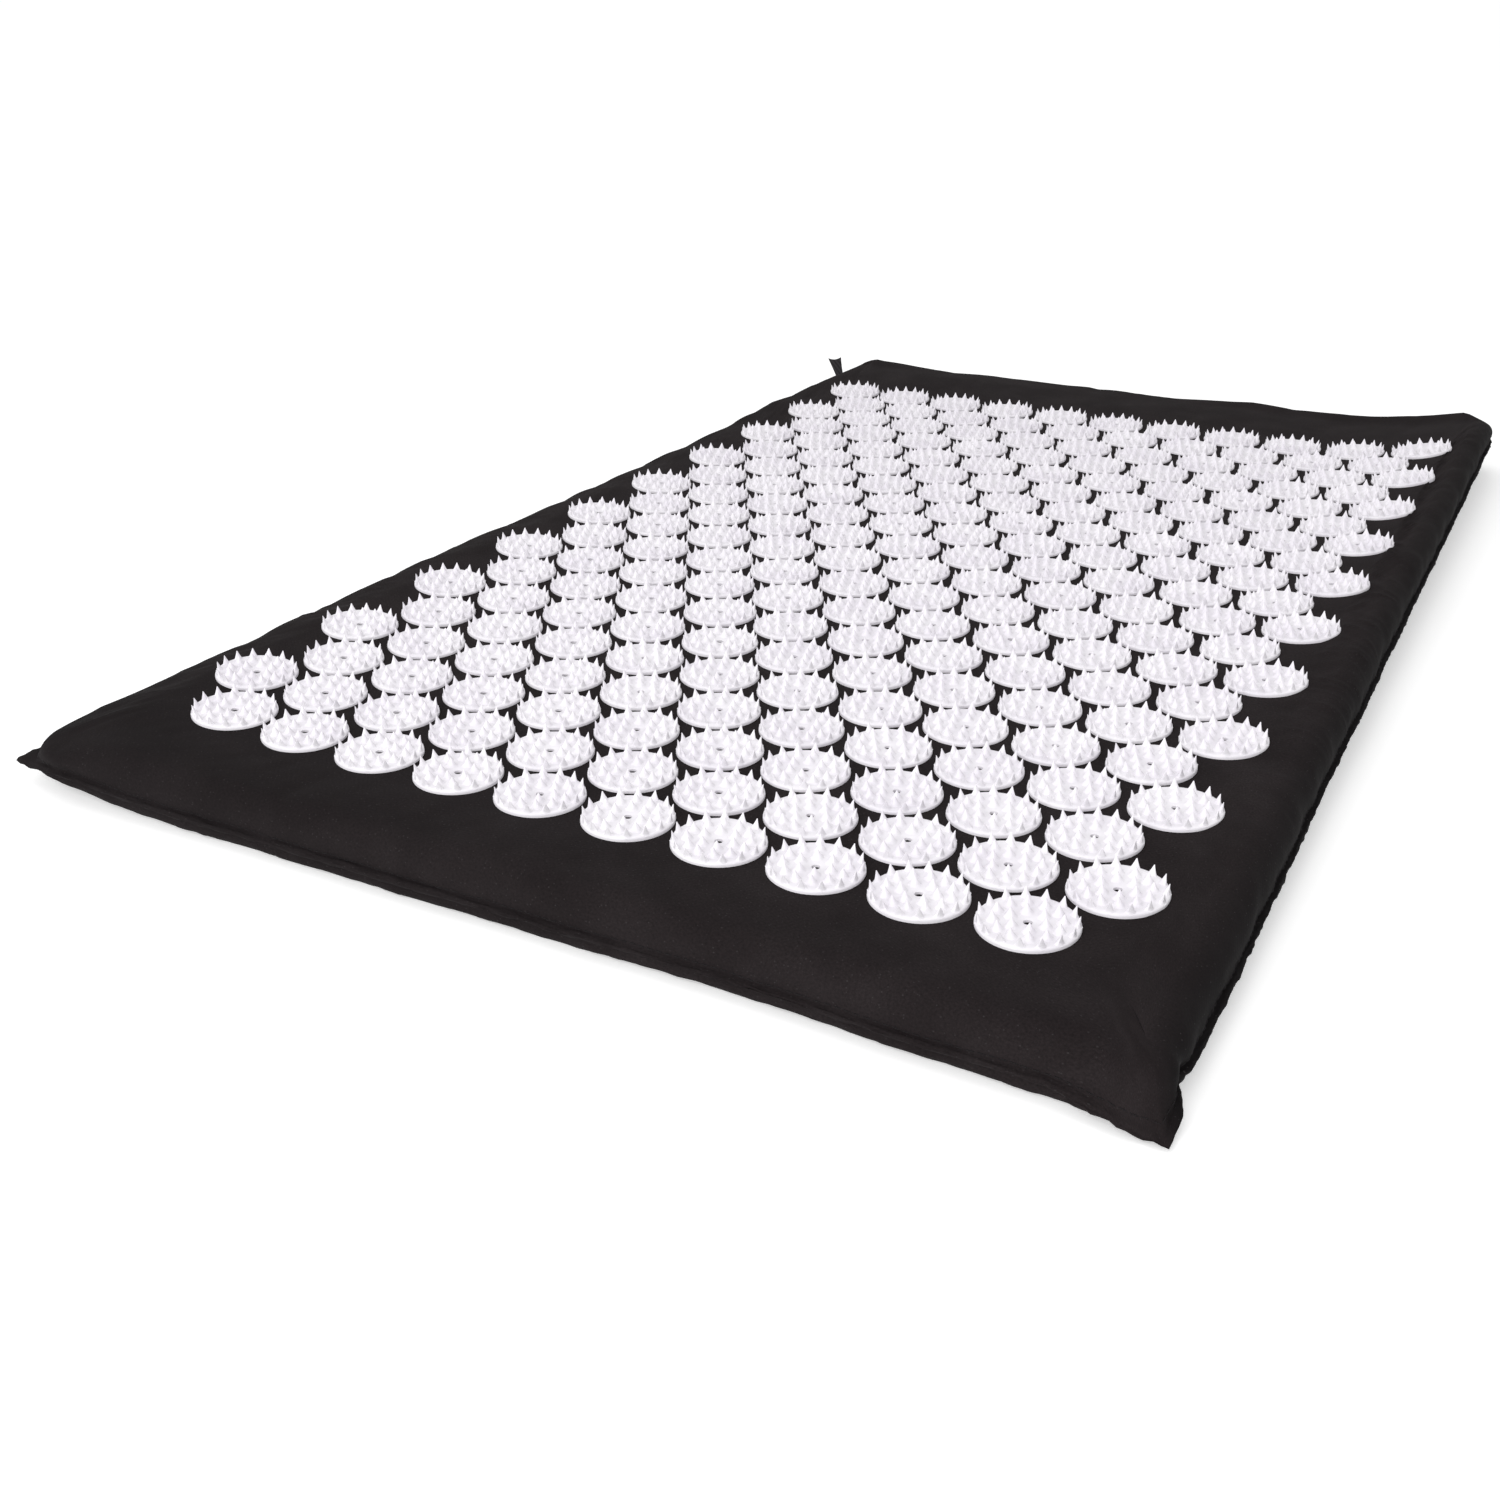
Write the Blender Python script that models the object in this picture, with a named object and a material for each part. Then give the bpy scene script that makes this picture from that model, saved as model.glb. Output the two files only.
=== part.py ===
# Acupressure mat: a foam pad in a sewn cotton cover, with rows of spiked plastic discs glued on top.
# Units are metres, +Z is up, +Y is the mat's far short end, and the origin is the middle of the underside.

import math

import bmesh
import bpy
from mathutils import Matrix, Vector
from mathutils.geometry import delaunay_2d_cdt

# Spiked discs and the pattern they are glued in
disc_diameter = 0.030
disc_gap = 0.003
disc_sides = 8
rim_height = 0.0020
spike_height = 0.0043
spike_lean_in = 0.0007
inner_spike_height = 0.0040
dish_floor = 0.0012
dish_radius_share = 0.60
inner_spike_share = 0.36
eyelet_floor = 0.0004
row_count = 20
discs_in_long_row = 11

# Cloth borders round the disc field, and the mat's section
side_border = 0.022
near_border = 0.035
far_border = 0.0724
mat_height = 0.020
shoulder_share = 0.475
cloth_thickness = 0.0008
clearance = 0.0003
foam_clearance = 0.0006
row_end_margin = 0.002
corner_radius = 0.014
corner_step = 0.004
long_side_draw = 0.0015
near_side_draw = 0.0025
right_side_draw_at_far_end = 0.009

# Seam between the two panels, with the sewn corner ears
seam_share = 0.30
seam_lip = 0.0016
ear_near_left = 0.0105
ear_near_right = 0.0125
ear_far_right = 0.0060
ear_far_left = 0.0022

# Curl of the two long edges, which lift off the floor
curl_width = 0.102
right_curl_at_far_end = 0.0185
left_curl_at_near_end = 0.006
curl_knot_shares = (0.0, 1 / 3, 2 / 3, 1.0)
long_side_stations = 5

# Zip along the far end
zip_corner_room = 0.042
zip_end_room = 0.010
zip_opening_share = 0.35
zip_taper = 0.005
bead_width = 0.0019
bead_depth = 0.0014
chain_slot = 0.0012
tape_thickness = 0.0005
tape_tuck = 0.0006
upper_tape_width = 0.0050
lower_tape_width = 0.0034
stop_length = 0.0026
stop_thickness = 0.0007
stop_overhang = 0.0003

# Slider and its pull
slider_length = 0.0092
slider_height = 0.0078
slider_tail_share = 0.72
plate_thickness = 0.0009
back_plate_height = 0.0056
post_thickness = 0.0006
post_length = 0.0028
bridge_span = 0.0062
bridge_width = 0.0016
bridge_leg = 0.0010
bridge_rise = 0.0027
bridge_bar = 0.0008
pull_length = 0.024
pull_width = 0.0066
pull_thickness = 0.0010
pull_eye_length = 0.0041
pull_arm = 0.0010
pull_grip_share = 0.62

# Loose tail of the zip tape, out of the left seam near the far corner
tail_from_far_end = 0.025
tail_length = 0.015
tail_bearing = 142
tail_width = 0.0060
tail_flare = 0.0010
tail_thickness = 0.0007
tail_rise = 0.0160
tail_stations = 4

# Sizes that follow from the ones above
disc_radius = disc_diameter / 2
disc_pitch = disc_diameter + disc_gap
row_pitch = disc_pitch * math.sqrt(3) / 2
field_half_x = (discs_in_long_row - 1) / 2 * disc_pitch + disc_radius + row_end_margin
field_half_y = row_count / 2 * row_pitch
half_x = field_half_x + side_border - row_end_margin
half_y = (2 * field_half_y + near_border + far_border - row_pitch + disc_diameter) / 2
field_centre_y = -half_y + near_border + disc_radius + (row_count - 1) / 2 * row_pitch
hole_half_x = field_half_x + clearance
hole_near_y = field_centre_y - field_half_y - clearance / 2
field_far_y = field_centre_y + field_half_y
foot_apothem = min(disc_radius * math.cos(math.pi / disc_sides), row_pitch / 2 - 2 * clearance)
foot_radius = foot_apothem / math.cos(math.pi / disc_sides)
curl_start = half_x - curl_width
curl_knots = [curl_start + share * (field_half_x - curl_start) for share in curl_knot_shares] + [half_x]
shoulder_radius = mat_height * shoulder_share
seam_height = mat_height * seam_share
zip_opening = mat_height * zip_opening_share
hole_far_y = half_y - shoulder_radius - corner_step
zip_left = -(half_x - zip_corner_room)
zip_right = curl_start - zip_end_room
upper_edge = seam_height + zip_opening / 2
lower_edge = seam_height - zip_opening / 2
tape_front = half_y - cloth_thickness - clearance - tape_tuck
tape_back = tape_front - tape_thickness
bead_back = tape_front + clearance
bead_front = bead_back + bead_depth
plate_back = max(bead_front, half_y) + clearance
plate_front = plate_back + plate_thickness
back_plate_front = tape_back - clearance
back_plate_back = back_plate_front - plate_thickness
foam_far_inset = half_y - back_plate_back + foam_clearance
slider_home = zip_right - stop_length - clearance - slider_length / 2
pull_axis_y = plate_front + (bridge_rise - bridge_bar) / 2


def make_material(name, colour, roughness):
    """A plain Principled material, its colour given in linear RGB."""
    material = bpy.data.materials.new(name)
    material.use_nodes = True
    shader = material.node_tree.nodes["Principled BSDF"]
    shader.inputs["Base Color"].default_value = (*colour, 1.0)
    shader.inputs["Roughness"].default_value = roughness
    material.diffuse_color = (*colour, 1.0)
    return material


def add_object(name, shape, material, origin=None):
    """Closes the bmesh's winding outwards and makes it a named object, its origin at the given point."""
    bmesh.ops.recalc_face_normals(shape, faces=shape.faces)
    if origin is not None:
        shape.transform(Matrix.Translation(-Vector(origin)))
    mesh = bpy.data.meshes.new(name)
    shape.to_mesh(mesh)
    shape.free()
    mesh.materials.append(material)
    piece = bpy.data.objects.new(name, mesh)
    if origin is not None:
        piece.location = origin
    bpy.context.scene.collection.objects.link(piece)
    return piece


def curl_height(reach):
    """How far along its curl a point this far from the mat's middle line is: 0 where flat, 1 at the edge."""
    if reach <= curl_knots[0]:
        return 0.0
    squares = [((knot - curl_start) / curl_width) ** 2 for knot in curl_knots]
    last = len(curl_knots) - 2
    index = min(sum(reach > knot for knot in curl_knots) - 1, last)
    low, high = curl_knots[index], curl_knots[index + 1]
    return squares[index] + (reach - low) / (high - low) * (squares[index + 1] - squares[index])


def lift(x, y):
    """Height of the mat's underside over the floor at a point: each long edge curls up towards one end."""
    along = (y + half_y) / (2 * half_y)
    if x > 0:
        return right_curl_at_far_end * along * curl_height(x)
    return left_curl_at_near_end * (1 - along) * curl_height(-x)


def lifted(x, y, z):
    return Vector((x, y, z + lift(x, y)))


def long_side_x(side_x, y):
    """Outline of a long side: drawn in between the corners, and on the right drawn in by its curl."""
    draw = long_side_draw * (1 - (y / half_y) ** 2)
    if side_x > 0:
        draw += right_side_draw_at_far_end * (y + half_y) / (2 * half_y)
    return side_x * (half_x - draw)


def end_side_y(side_y, x):
    """Outline of a short end: the far one is straight, and the near one drawn in between the corners."""
    draw = near_side_draw * (1 - (x / half_x) ** 2) if side_y < 0 else 0.0
    return side_y * (half_y - draw)


def grid_lines():
    """The x and y lines that the cover and the foam share: curl knots, zip ends, and one near each corner."""
    knots = curl_knots[:-2]
    corner_x = hole_half_x - corner_step
    zip_lines = [zip_left - zip_taper, zip_left, zip_right, zip_right + zip_taper]
    inner_x = sorted([-knot for knot in knots] + knots + zip_lines)
    xs = [-hole_half_x, -corner_x] + inner_x + [corner_x, hole_half_x]
    low, high = hole_near_y + corner_step, hole_far_y - corner_step
    inner_y = [low + (high - low) * k / long_side_stations for k in range(long_side_stations + 1)]
    return xs, [hole_near_y] + inner_y + [hole_far_y]


class Station:
    """One place on the mat's edge: its point on the field's rectangle, on the outline, and the way out."""

    def __init__(self, base, outline, outward, lip, upper, lower, far_side):
        self.base = Vector(base)
        self.outline = Vector(outline)
        self.outward = Vector(outward).normalized()
        self.lip = lip
        self.upper = upper
        self.lower = lower
        self.far_side = far_side

    def point(self, inset, z):
        place = self.outline - self.outward * inset
        return lifted(place.x, place.y, z)

    def base_point(self, z):
        return lifted(self.base.x, self.base.y, z)


def edge_stations(xs, ys):
    """Stations round the mat, anticlockwise from the near left corner."""
    corner_pull = corner_radius * (1 - math.sqrt(0.5))
    seam_top = seam_height + clearance / 2
    seam_bottom = seam_height - clearance / 2
    ears = {(-1, -1): ear_near_left, (1, -1): ear_near_right, (1, 1): ear_far_right, (-1, 1): ear_far_left}

    def corner(side_x, side_y):
        base = (side_x * hole_half_x, hole_near_y if side_y < 0 else hole_far_y)
        edge_x = long_side_x(side_x, side_y * half_y)
        outline = (edge_x - side_x * corner_pull, side_y * (half_y - corner_pull))
        return Station(base, outline, (side_x, side_y), ears[side_x, side_y], seam_top, seam_bottom, side_y > 0)

    def end_side(x, side_y):
        base_y = hole_near_y if side_y < 0 else hole_far_y
        by_corner = abs(x) > hole_half_x - 1.5 * corner_step
        side_x = math.copysign(1, x)
        outline_x = long_side_x(side_x, side_y * half_y) - side_x * corner_radius if by_corner else x
        in_zip = side_y > 0 and zip_left - zip_taper / 2 < x < zip_right + zip_taper / 2
        upper = upper_edge if in_zip else seam_top
        lower = lower_edge if in_zip else seam_bottom
        lip = 0.0 if side_y > 0 else seam_lip
        outline = (outline_x, end_side_y(side_y, outline_x))
        return Station((x, base_y), outline, (0, side_y), lip, upper, lower, side_y > 0)

    def long_side(y, side_x):
        outline_y = y
        if y < hole_near_y + 1.5 * corner_step:
            outline_y = -half_y + corner_radius
        if y > hole_far_y - 1.5 * corner_step:
            outline_y = half_y - corner_radius
        outline = (long_side_x(side_x, outline_y), outline_y)
        return Station((side_x * hole_half_x, y), outline, (side_x, 0), seam_lip, seam_top, seam_bottom, False)

    stations = [corner(-1, -1)] + [end_side(x, -1) for x in xs[1:-1]]
    stations += [corner(1, -1)] + [long_side(y, 1) for y in ys[1:-1]]
    stations += [corner(1, 1)] + [end_side(x, 1) for x in reversed(xs[1:-1])]
    stations += [corner(-1, 1)] + [long_side(y, -1) for y in reversed(ys[1:-1])]
    return stations


def arc_point(radius, wall):
    """Inset and drop at the middle of a quarter round, measured on the inside of a wall this thick."""
    share = 1 - math.sqrt(0.5)
    return radius * share + wall * math.sqrt(0.5)


def top_profile(station):
    """Section of the top panel at one station, from the field's edge over the shoulder and back inside."""
    shoulder = mat_height - shoulder_radius
    lip_top = station.upper + cloth_thickness
    outer = arc_point(shoulder_radius, 0)
    inner = arc_point(shoulder_radius, cloth_thickness)
    return [
        station.base_point(mat_height),
        station.point(shoulder_radius, mat_height),
        station.point(outer, mat_height - outer),
        station.point(0, shoulder),
        station.point(0, lip_top),
        station.point(-station.lip, lip_top),
        station.point(-station.lip, station.upper),
        station.point(cloth_thickness, station.upper),
        station.point(cloth_thickness, shoulder),
        station.point(inner, mat_height - inner),
        station.point(shoulder_radius, mat_height - cloth_thickness),
        station.base_point(mat_height - cloth_thickness),
    ]


def bottom_profile(station):
    """Section of the bottom panel at one station, from its flat underside out to the seam and back inside."""
    radius = station.lower - cloth_thickness
    outer = arc_point(radius, 0)
    inner = arc_point(radius, cloth_thickness)
    return [
        station.base_point(0),
        station.point(radius, 0),
        station.point(outer, outer),
        station.point(0, radius),
        station.point(-station.lip, radius),
        station.point(-station.lip, station.lower),
        station.point(cloth_thickness, station.lower),
        station.point(inner, inner),
        station.point(radius, cloth_thickness),
        station.base_point(cloth_thickness),
    ]


def foam_profile(station):
    """Section of the foam's edge at one station, from its top round its side to its underside."""
    skin = cloth_thickness + foam_clearance
    room = foam_far_inset - skin if station.far_side else 0.0
    top = arc_point(shoulder_radius, skin)
    low_radius = seam_height - cloth_thickness
    low = arc_point(low_radius, skin)
    return [
        station.base_point(mat_height - skin),
        station.point(shoulder_radius + room, mat_height - skin),
        station.point(top + room, mat_height - top),
        station.point(skin + room, mat_height - shoulder_radius),
        station.point(skin + room, low_radius),
        station.point(low + room, low),
        station.point(low_radius + room, skin),
        station.base_point(skin),
    ]


def loft(shape, profiles, closed_section):
    """Joins neighbouring sections round the mat with quads, and returns the rings of vertices."""
    rings = [[shape.verts.new(point) for point in profile] for profile in profiles]
    count = len(rings[0])
    steps = count if closed_section else count - 1
    for ring, following in zip(rings, rings[1:] + rings[:1]):
        for k in range(steps):
            after = (k + 1) % count
            shape.faces.new((ring[k], ring[after], following[after], following[k]))
    return rings


def fill_grid(shape, border, xs, ys, z):
    """Fills the field's rectangle with a grid that ends on the given border vertices."""
    across, along = len(xs) - 1, len(ys) - 1
    grid = {}
    for k, vertex in enumerate(border):
        if k <= across:
            place = (k, 0)
        elif k <= across + along:
            place = (across, k - across)
        elif k <= 2 * across + along:
            place = (2 * across + along - k, along)
        else:
            place = (0, 2 * (across + along) - k)
        grid[place] = vertex
    for i in range(1, across):
        for j in range(1, along):
            grid[i, j] = shape.verts.new(lifted(xs[i], ys[j], z))
    for i in range(across):
        for j in range(along):
            shape.faces.new((grid[i, j], grid[i + 1, j], grid[i + 1, j + 1], grid[i, j + 1]))


def build_top_panel(stations, material):
    shape = bmesh.new()
    loft(shape, [top_profile(station) for station in stations], True)
    return add_object("cover_top_panel", shape, material)


def build_bottom_panel(stations, xs, ys, material):
    shape = bmesh.new()
    rings = loft(shape, [bottom_profile(station) for station in stations], False)
    fill_grid(shape, [ring[0] for ring in rings], xs, ys, 0.0)
    fill_grid(shape, [ring[-1] for ring in rings], xs, ys, cloth_thickness)
    return add_object("cover_bottom_panel", shape, material)


def build_foam(stations, xs, ys, material):
    skin = cloth_thickness + foam_clearance
    shape = bmesh.new()
    rings = loft(shape, [foam_profile(station) for station in stations], False)
    fill_grid(shape, [ring[0] for ring in rings], xs, ys, mat_height - skin)
    fill_grid(shape, [ring[-1] for ring in rings], xs, ys, skin)
    return add_object("foam_pad", shape, material)


def disc_frame(x, y):
    """Matrix that sets a rigid disc on the cloth at a point, tilted with the curl."""
    left, right = lift(x - disc_radius, y), lift(x + disc_radius, y)
    height = mat_height + (left + right + 2 * lift(x, y)) / 4
    slope = math.atan2(right - left, 2 * disc_radius)
    return Matrix.Translation((x, y, height)) @ Matrix.Rotation(-slope, 4, "Y")


def add_disc(shape, frame):
    """Adds one open-bottomed disc to the bmesh, and returns its foot's loop of vertices."""

    def ring(radius, z, turn):
        angles = [(k + turn) * 2 * math.pi / disc_sides for k in range(disc_sides)]
        return [shape.verts.new(frame @ Vector((radius * math.cos(a), radius * math.sin(a), z))) for a in angles]

    tip_radius = disc_radius * math.cos(math.pi / disc_sides) - spike_lean_in
    foot = ring(foot_radius, 0.0, -0.5)
    rim = ring(disc_radius, rim_height, -0.5)
    tips = ring(tip_radius, spike_height, 0.0)
    dish = ring(disc_radius * dish_radius_share, dish_floor, 0.0)
    centre = shape.verts.new(frame @ Vector((0, 0, eyelet_floor)))
    inner_tips = ring(disc_radius * inner_spike_share, inner_spike_height, 0.5)
    for k in range(disc_sides):
        after = (k + 1) % disc_sides
        shape.faces.new((foot[k], foot[after], rim[after], rim[k]))
        shape.faces.new((rim[k], rim[after], tips[k]))
        shape.faces.new((rim[after], dish[k], tips[k]))
        shape.faces.new((dish[k], rim[k], tips[k]))
        shape.faces.new((rim[after], dish[after], dish[k]))
        if k % 2:
            shape.faces.new((dish[k], dish[after], centre))
            continue
        shape.faces.new((dish[k], dish[after], inner_tips[k]))
        shape.faces.new((dish[after], centre, inner_tips[k]))
        shape.faces.new((centre, dish[k], inner_tips[k]))
    for k in range(1, disc_sides, 2):
        shape.verts.remove(inner_tips[k])
    return foot


def strip_outline(y_low, y_high):
    """Corners of a strip of cloth at each curl knot, anticlockwise, and how many lie on each side."""
    knots = curl_knots[:-1]
    xs = [-knot for knot in reversed(knots)] + knots
    return [(x, y_low) for x in xs] + [(x, y_high) for x in reversed(xs)], len(xs)


def build_strip(name, y_low, y_high, centres, material):
    """A strip of the cover's top cloth with a disc at each of the centres, fused with it at its glued foot."""
    outline, on_side = strip_outline(y_low, y_high)
    shape = bmesh.new()
    upper = [shape.verts.new(lifted(x, y, mat_height)) for x, y in outline]
    lower = [shape.verts.new(lifted(x, y, mat_height - cloth_thickness)) for x, y in outline]
    feet = [add_disc(shape, disc_frame(x, y)) for x, y in centres]
    fill_cloth(shape, upper, feet, centres)
    total = len(outline)
    for k in range(total):
        after = (k + 1) % total
        shape.faces.new((lower[k], lower[after], upper[after], upper[k]))
    for k in range(on_side - 1):
        shape.faces.new((lower[k], lower[k + 1], lower[total - 2 - k], lower[total - 1 - k]))
    return add_object(name, shape, material)


def build_disc_row(index, material):
    """One row of discs with its strip of cloth. Rows of ten and eleven discs take turns."""
    count = discs_in_long_row - 1 + index % 2
    y = field_centre_y + (index - (row_count - 1) / 2) * row_pitch
    half_strip = row_pitch / 2 - clearance / 2
    centres = [((k - (count - 1) / 2) * disc_pitch, y) for k in range(count)]
    return build_strip(f"disc_row_{index + 1:02d}", y - half_strip, y + half_strip, centres, material)


def fill_cloth(shape, upper, feet, centres):
    """Triangulates a strip's upper face round the discs' feet."""
    loops = [upper] + feet
    vertices = [vertex for loop in loops for vertex in loop]
    flat = [Vector((vertex.co.x, vertex.co.y)) for vertex in vertices]
    edges = []
    start = 0
    for loop in loops:
        edges += [(start + k, start + (k + 1) % len(loop)) for k in range(len(loop))]
        start += len(loop)
    tolerance = clearance / 1000
    _, _, triangles, _, _, _ = delaunay_2d_cdt(flat, edges, [], 0, tolerance)
    for triangle in triangles:
        middle = sum((flat[k] for k in triangle), Vector((0.0, 0.0))) / 3
        if any((middle - Vector(centre)).length < foot_apothem for centre in centres):
            continue
        shape.faces.new([vertices[k] for k in triangle])


def add_box(shape, low, high):
    """Adds a box between two corners, as one closed block, and returns its vertices."""
    size = [b - a for a, b in zip(low, high)]
    middle = [(a + b) / 2 for a, b in zip(low, high)]
    place = Matrix.Translation(middle) @ Matrix.Diagonal((*size, 1.0))
    return bmesh.ops.create_cube(shape, size=1.0, matrix=place)["verts"]


def extrude_outline(shape, outline, low, high, axis):
    """Extrudes a closed outline of two-value points between two planes across the given axis."""

    def corner(point, level):
        values = list(point)
        values.insert(axis, level)
        return shape.verts.new(values)

    rings = [[corner(point, level) for point in outline] for level in (low, high)]
    shape.faces.new(rings[0])
    shape.faces.new(rings[1])
    count = len(outline)
    for k in range(count):
        after = (k + 1) % count
        shape.faces.new((rings[0][k], rings[0][after], rings[1][after], rings[1][k]))


def build_tape(name, side, width, material):
    """One zip tape, its inner edge at the chain's slot and its outer edge behind the cover's cloth."""
    inner = seam_height + side * chain_slot / 2
    outer = inner + side * width
    shape = bmesh.new()
    low = (zip_left, tape_back, min(inner, outer))
    high = (zip_right, tape_front, max(inner, outer))
    add_box(shape, low, high)
    return add_object(name, shape, material)


def build_bead(name, side, material):
    """One half of the zip's chain: a bead with a rounded face along the tape's inner edge."""
    inner = seam_height + side * chain_slot / 2
    outer = inner + side * bead_width
    bevel = bead_depth / 3
    outline = [
        (bead_back, inner),
        (bead_front - bevel, inner),
        (bead_front, inner + side * bevel),
        (bead_front, outer - side * bevel),
        (bead_front - bevel, outer),
        (bead_back, outer),
    ]
    shape = bmesh.new()
    extrude_outline(shape, outline, zip_left, zip_right, 0)
    return add_object(name, shape, material)


def build_stop(name, x, low_z, high_z, material):
    """A small crimped stop that lies over the chain at one end."""
    shape = bmesh.new()
    add_box(shape, (x, plate_back, low_z), (x + stop_length, plate_back + stop_thickness, high_z))
    bmesh.ops.bevel(shape, geom=shape.edges[:], offset=stop_thickness / 4, segments=1, affect="EDGES")
    return add_object(name, shape, material)


def build_stops(material):
    chain_low = seam_height - chain_slot / 2 - bead_width
    chain_high = seam_height + chain_slot / 2 + bead_width
    right = zip_right - stop_length
    build_stop("zip_bottom_stop", zip_left, chain_low - stop_overhang, chain_high + stop_overhang, material)
    build_stop("zip_top_stop_upper", right, seam_height + chain_slot / 2, chain_high + stop_overhang, material)
    build_stop("zip_top_stop_lower", right, chain_low - stop_overhang, seam_height - chain_slot / 2, material)


def unite(name, shapes, material, origin):
    """Joins the closed shapes into one body with Boolean unions and returns its object."""
    pieces = [add_object(f"{name}_{k}", shape, material, origin) for k, shape in enumerate(shapes)]
    base = pieces[0]
    for other in pieces[1:]:
        modifier = base.modifiers.new("union", "BOOLEAN")
        modifier.operation = "UNION"
        modifier.object = other
    graph = bpy.context.evaluated_depsgraph_get()
    joined = bpy.data.meshes.new_from_object(base.evaluated_get(graph))
    for piece in pieces:
        bpy.data.objects.remove(piece)
    joined.name = name
    piece = bpy.data.objects.new(name, joined)
    piece.location = origin
    bpy.context.scene.collection.objects.link(piece)
    return piece


def build_slider(material):
    """The slider: a tapered front plate with its bridge, and a back plate held by the post between the tapes."""
    half_length, half_height = slider_length / 2, slider_height / 2
    tail = half_height * slider_tail_share
    x, z = slider_home, seam_height
    outline = [
        (x - half_length, z - tail),
        (x + half_length * slider_tail_share, z - half_height),
        (x + half_length, z - half_height * slider_tail_share),
        (x + half_length, z + half_height * slider_tail_share),
        (x + half_length * slider_tail_share, z + half_height),
        (x - half_length, z + tail),
    ]
    front = bmesh.new()
    extrude_outline(front, outline, plate_back, plate_front, 1)
    back = bmesh.new()
    back_half = back_plate_height / 2
    add_box(back, (x - half_length, back_plate_back, z - back_half), (x + half_length, back_plate_front, z + back_half))
    post = bmesh.new()
    post_start = x + half_length - 2 * post_length
    sunk_back = back_plate_back + plate_thickness / 2
    sunk_front = plate_back + plate_thickness / 2
    post_half = post_thickness / 2
    add_box(post, (post_start, sunk_back, z - post_half), (post_start + post_length, sunk_front, z + post_half))
    bridge = bmesh.new()
    half_span = bridge_span / 2
    top = plate_front + bridge_rise
    hole_top = top - bridge_bar
    seat = plate_front - plate_thickness / 2
    arch = [
        (x - half_span, seat),
        (x - half_span + bridge_leg, seat),
        (x - half_span + bridge_leg, hole_top),
        (x + half_span - bridge_leg, hole_top),
        (x + half_span - bridge_leg, seat),
        (x + half_span, seat),
        (x + half_span, hole_top),
        (x + half_span - bridge_leg, top),
        (x - half_span + bridge_leg, top),
        (x - half_span, hole_top),
    ]
    extrude_outline(bridge, arch, z - bridge_width / 2, z + bridge_width / 2, 2)
    return unite("zip_slider", [front, back, post, bridge], material, (x, plate_back, z))


def build_pull(material):
    """The pull: a flat tongue with an eye whose end bar runs under the slider's bridge."""
    x, y, z = slider_home, pull_axis_y, seam_height
    half_bar = pull_thickness / 2
    half_eye = bridge_width / 2 + 2 * clearance
    half_neck = half_eye + pull_arm
    half_width = pull_width / 2
    eye_end = x - half_bar - pull_eye_length
    tip = x - pull_length
    neck = eye_end - half_width / 2
    waist = x - pull_length * pull_grip_share
    upper = [
        (x + half_bar, half_neck),
        (eye_end, half_neck),
        (neck, half_width * pull_grip_share),
        (waist, half_width * pull_grip_share),
        (tip + half_width, half_width),
        (tip + half_width / 3, half_width * pull_grip_share),
        (tip, half_width / 3),
    ]
    lower = [(px, -pz) for px, pz in reversed(upper)]
    shape = bmesh.new()
    outer_points = upper + lower
    inner_points = [(x - half_bar, half_eye), (eye_end, half_eye), (eye_end, -half_eye), (x - half_bar, -half_eye)]
    levels = []
    for level in (y - half_bar, y + half_bar):
        outer = [shape.verts.new((px, level, z + pz)) for px, pz in outer_points]
        inner = [shape.verts.new((px, level, z + pz)) for px, pz in inner_points]
        last = len(outer) - 1
        shape.faces.new((outer[0], outer[1], inner[1], inner[0]))
        shape.faces.new((inner[3], inner[2], outer[last - 1], outer[last]))
        shape.faces.new((outer[0], inner[0], inner[3], outer[last]))
        shape.faces.new(outer[1:last] + [inner[2], inner[1]])
        levels.append((outer, inner))
    for k in range(2):
        low, high = levels[0][k], levels[1][k]
        for j in range(len(low)):
            after = (j + 1) % len(low)
            shape.faces.new((low[j], low[after], high[after], high[j]))
    return add_object("zip_pull", shape, material, (x, y, z))


def build_tape_tail(material):
    """The loose end of the zip tape that stands up out of the left seam, flared and square cut."""
    bearing = math.radians(tail_bearing)
    outward = Vector((math.cos(bearing), math.sin(bearing), 0.0))
    square = Vector((-outward.y, outward.x, 0.0))
    seam_line = Vector((0.0, -1.0, 0.0))
    seam_y = half_y - tail_from_far_end
    start = lifted(long_side_x(-1, seam_y) - seam_lip - clearance, seam_y, seam_height)
    shape = bmesh.new()
    rings = []
    for k in range(tail_stations):
        share = k / (tail_stations - 1)
        middle = start + outward * tail_length * share + Vector((0, 0, tail_rise * share))
        half = seam_line.lerp(square, share).normalized() * (tail_width + tail_flare * share) / 2
        thick = Vector((0, 0, tail_thickness / 2))
        corners = (middle - half - thick, middle + half - thick, middle + half + thick, middle - half + thick)
        rings.append([shape.verts.new(point) for point in corners])
    for ring, following in zip(rings, rings[1:]):
        for k in range(4):
            after = (k + 1) % 4
            shape.faces.new((ring[k], ring[after], following[after], following[k]))
    shape.faces.new(rings[0])
    shape.faces.new(rings[-1])
    return add_object("zip_tape_tail", shape, material)


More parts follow.
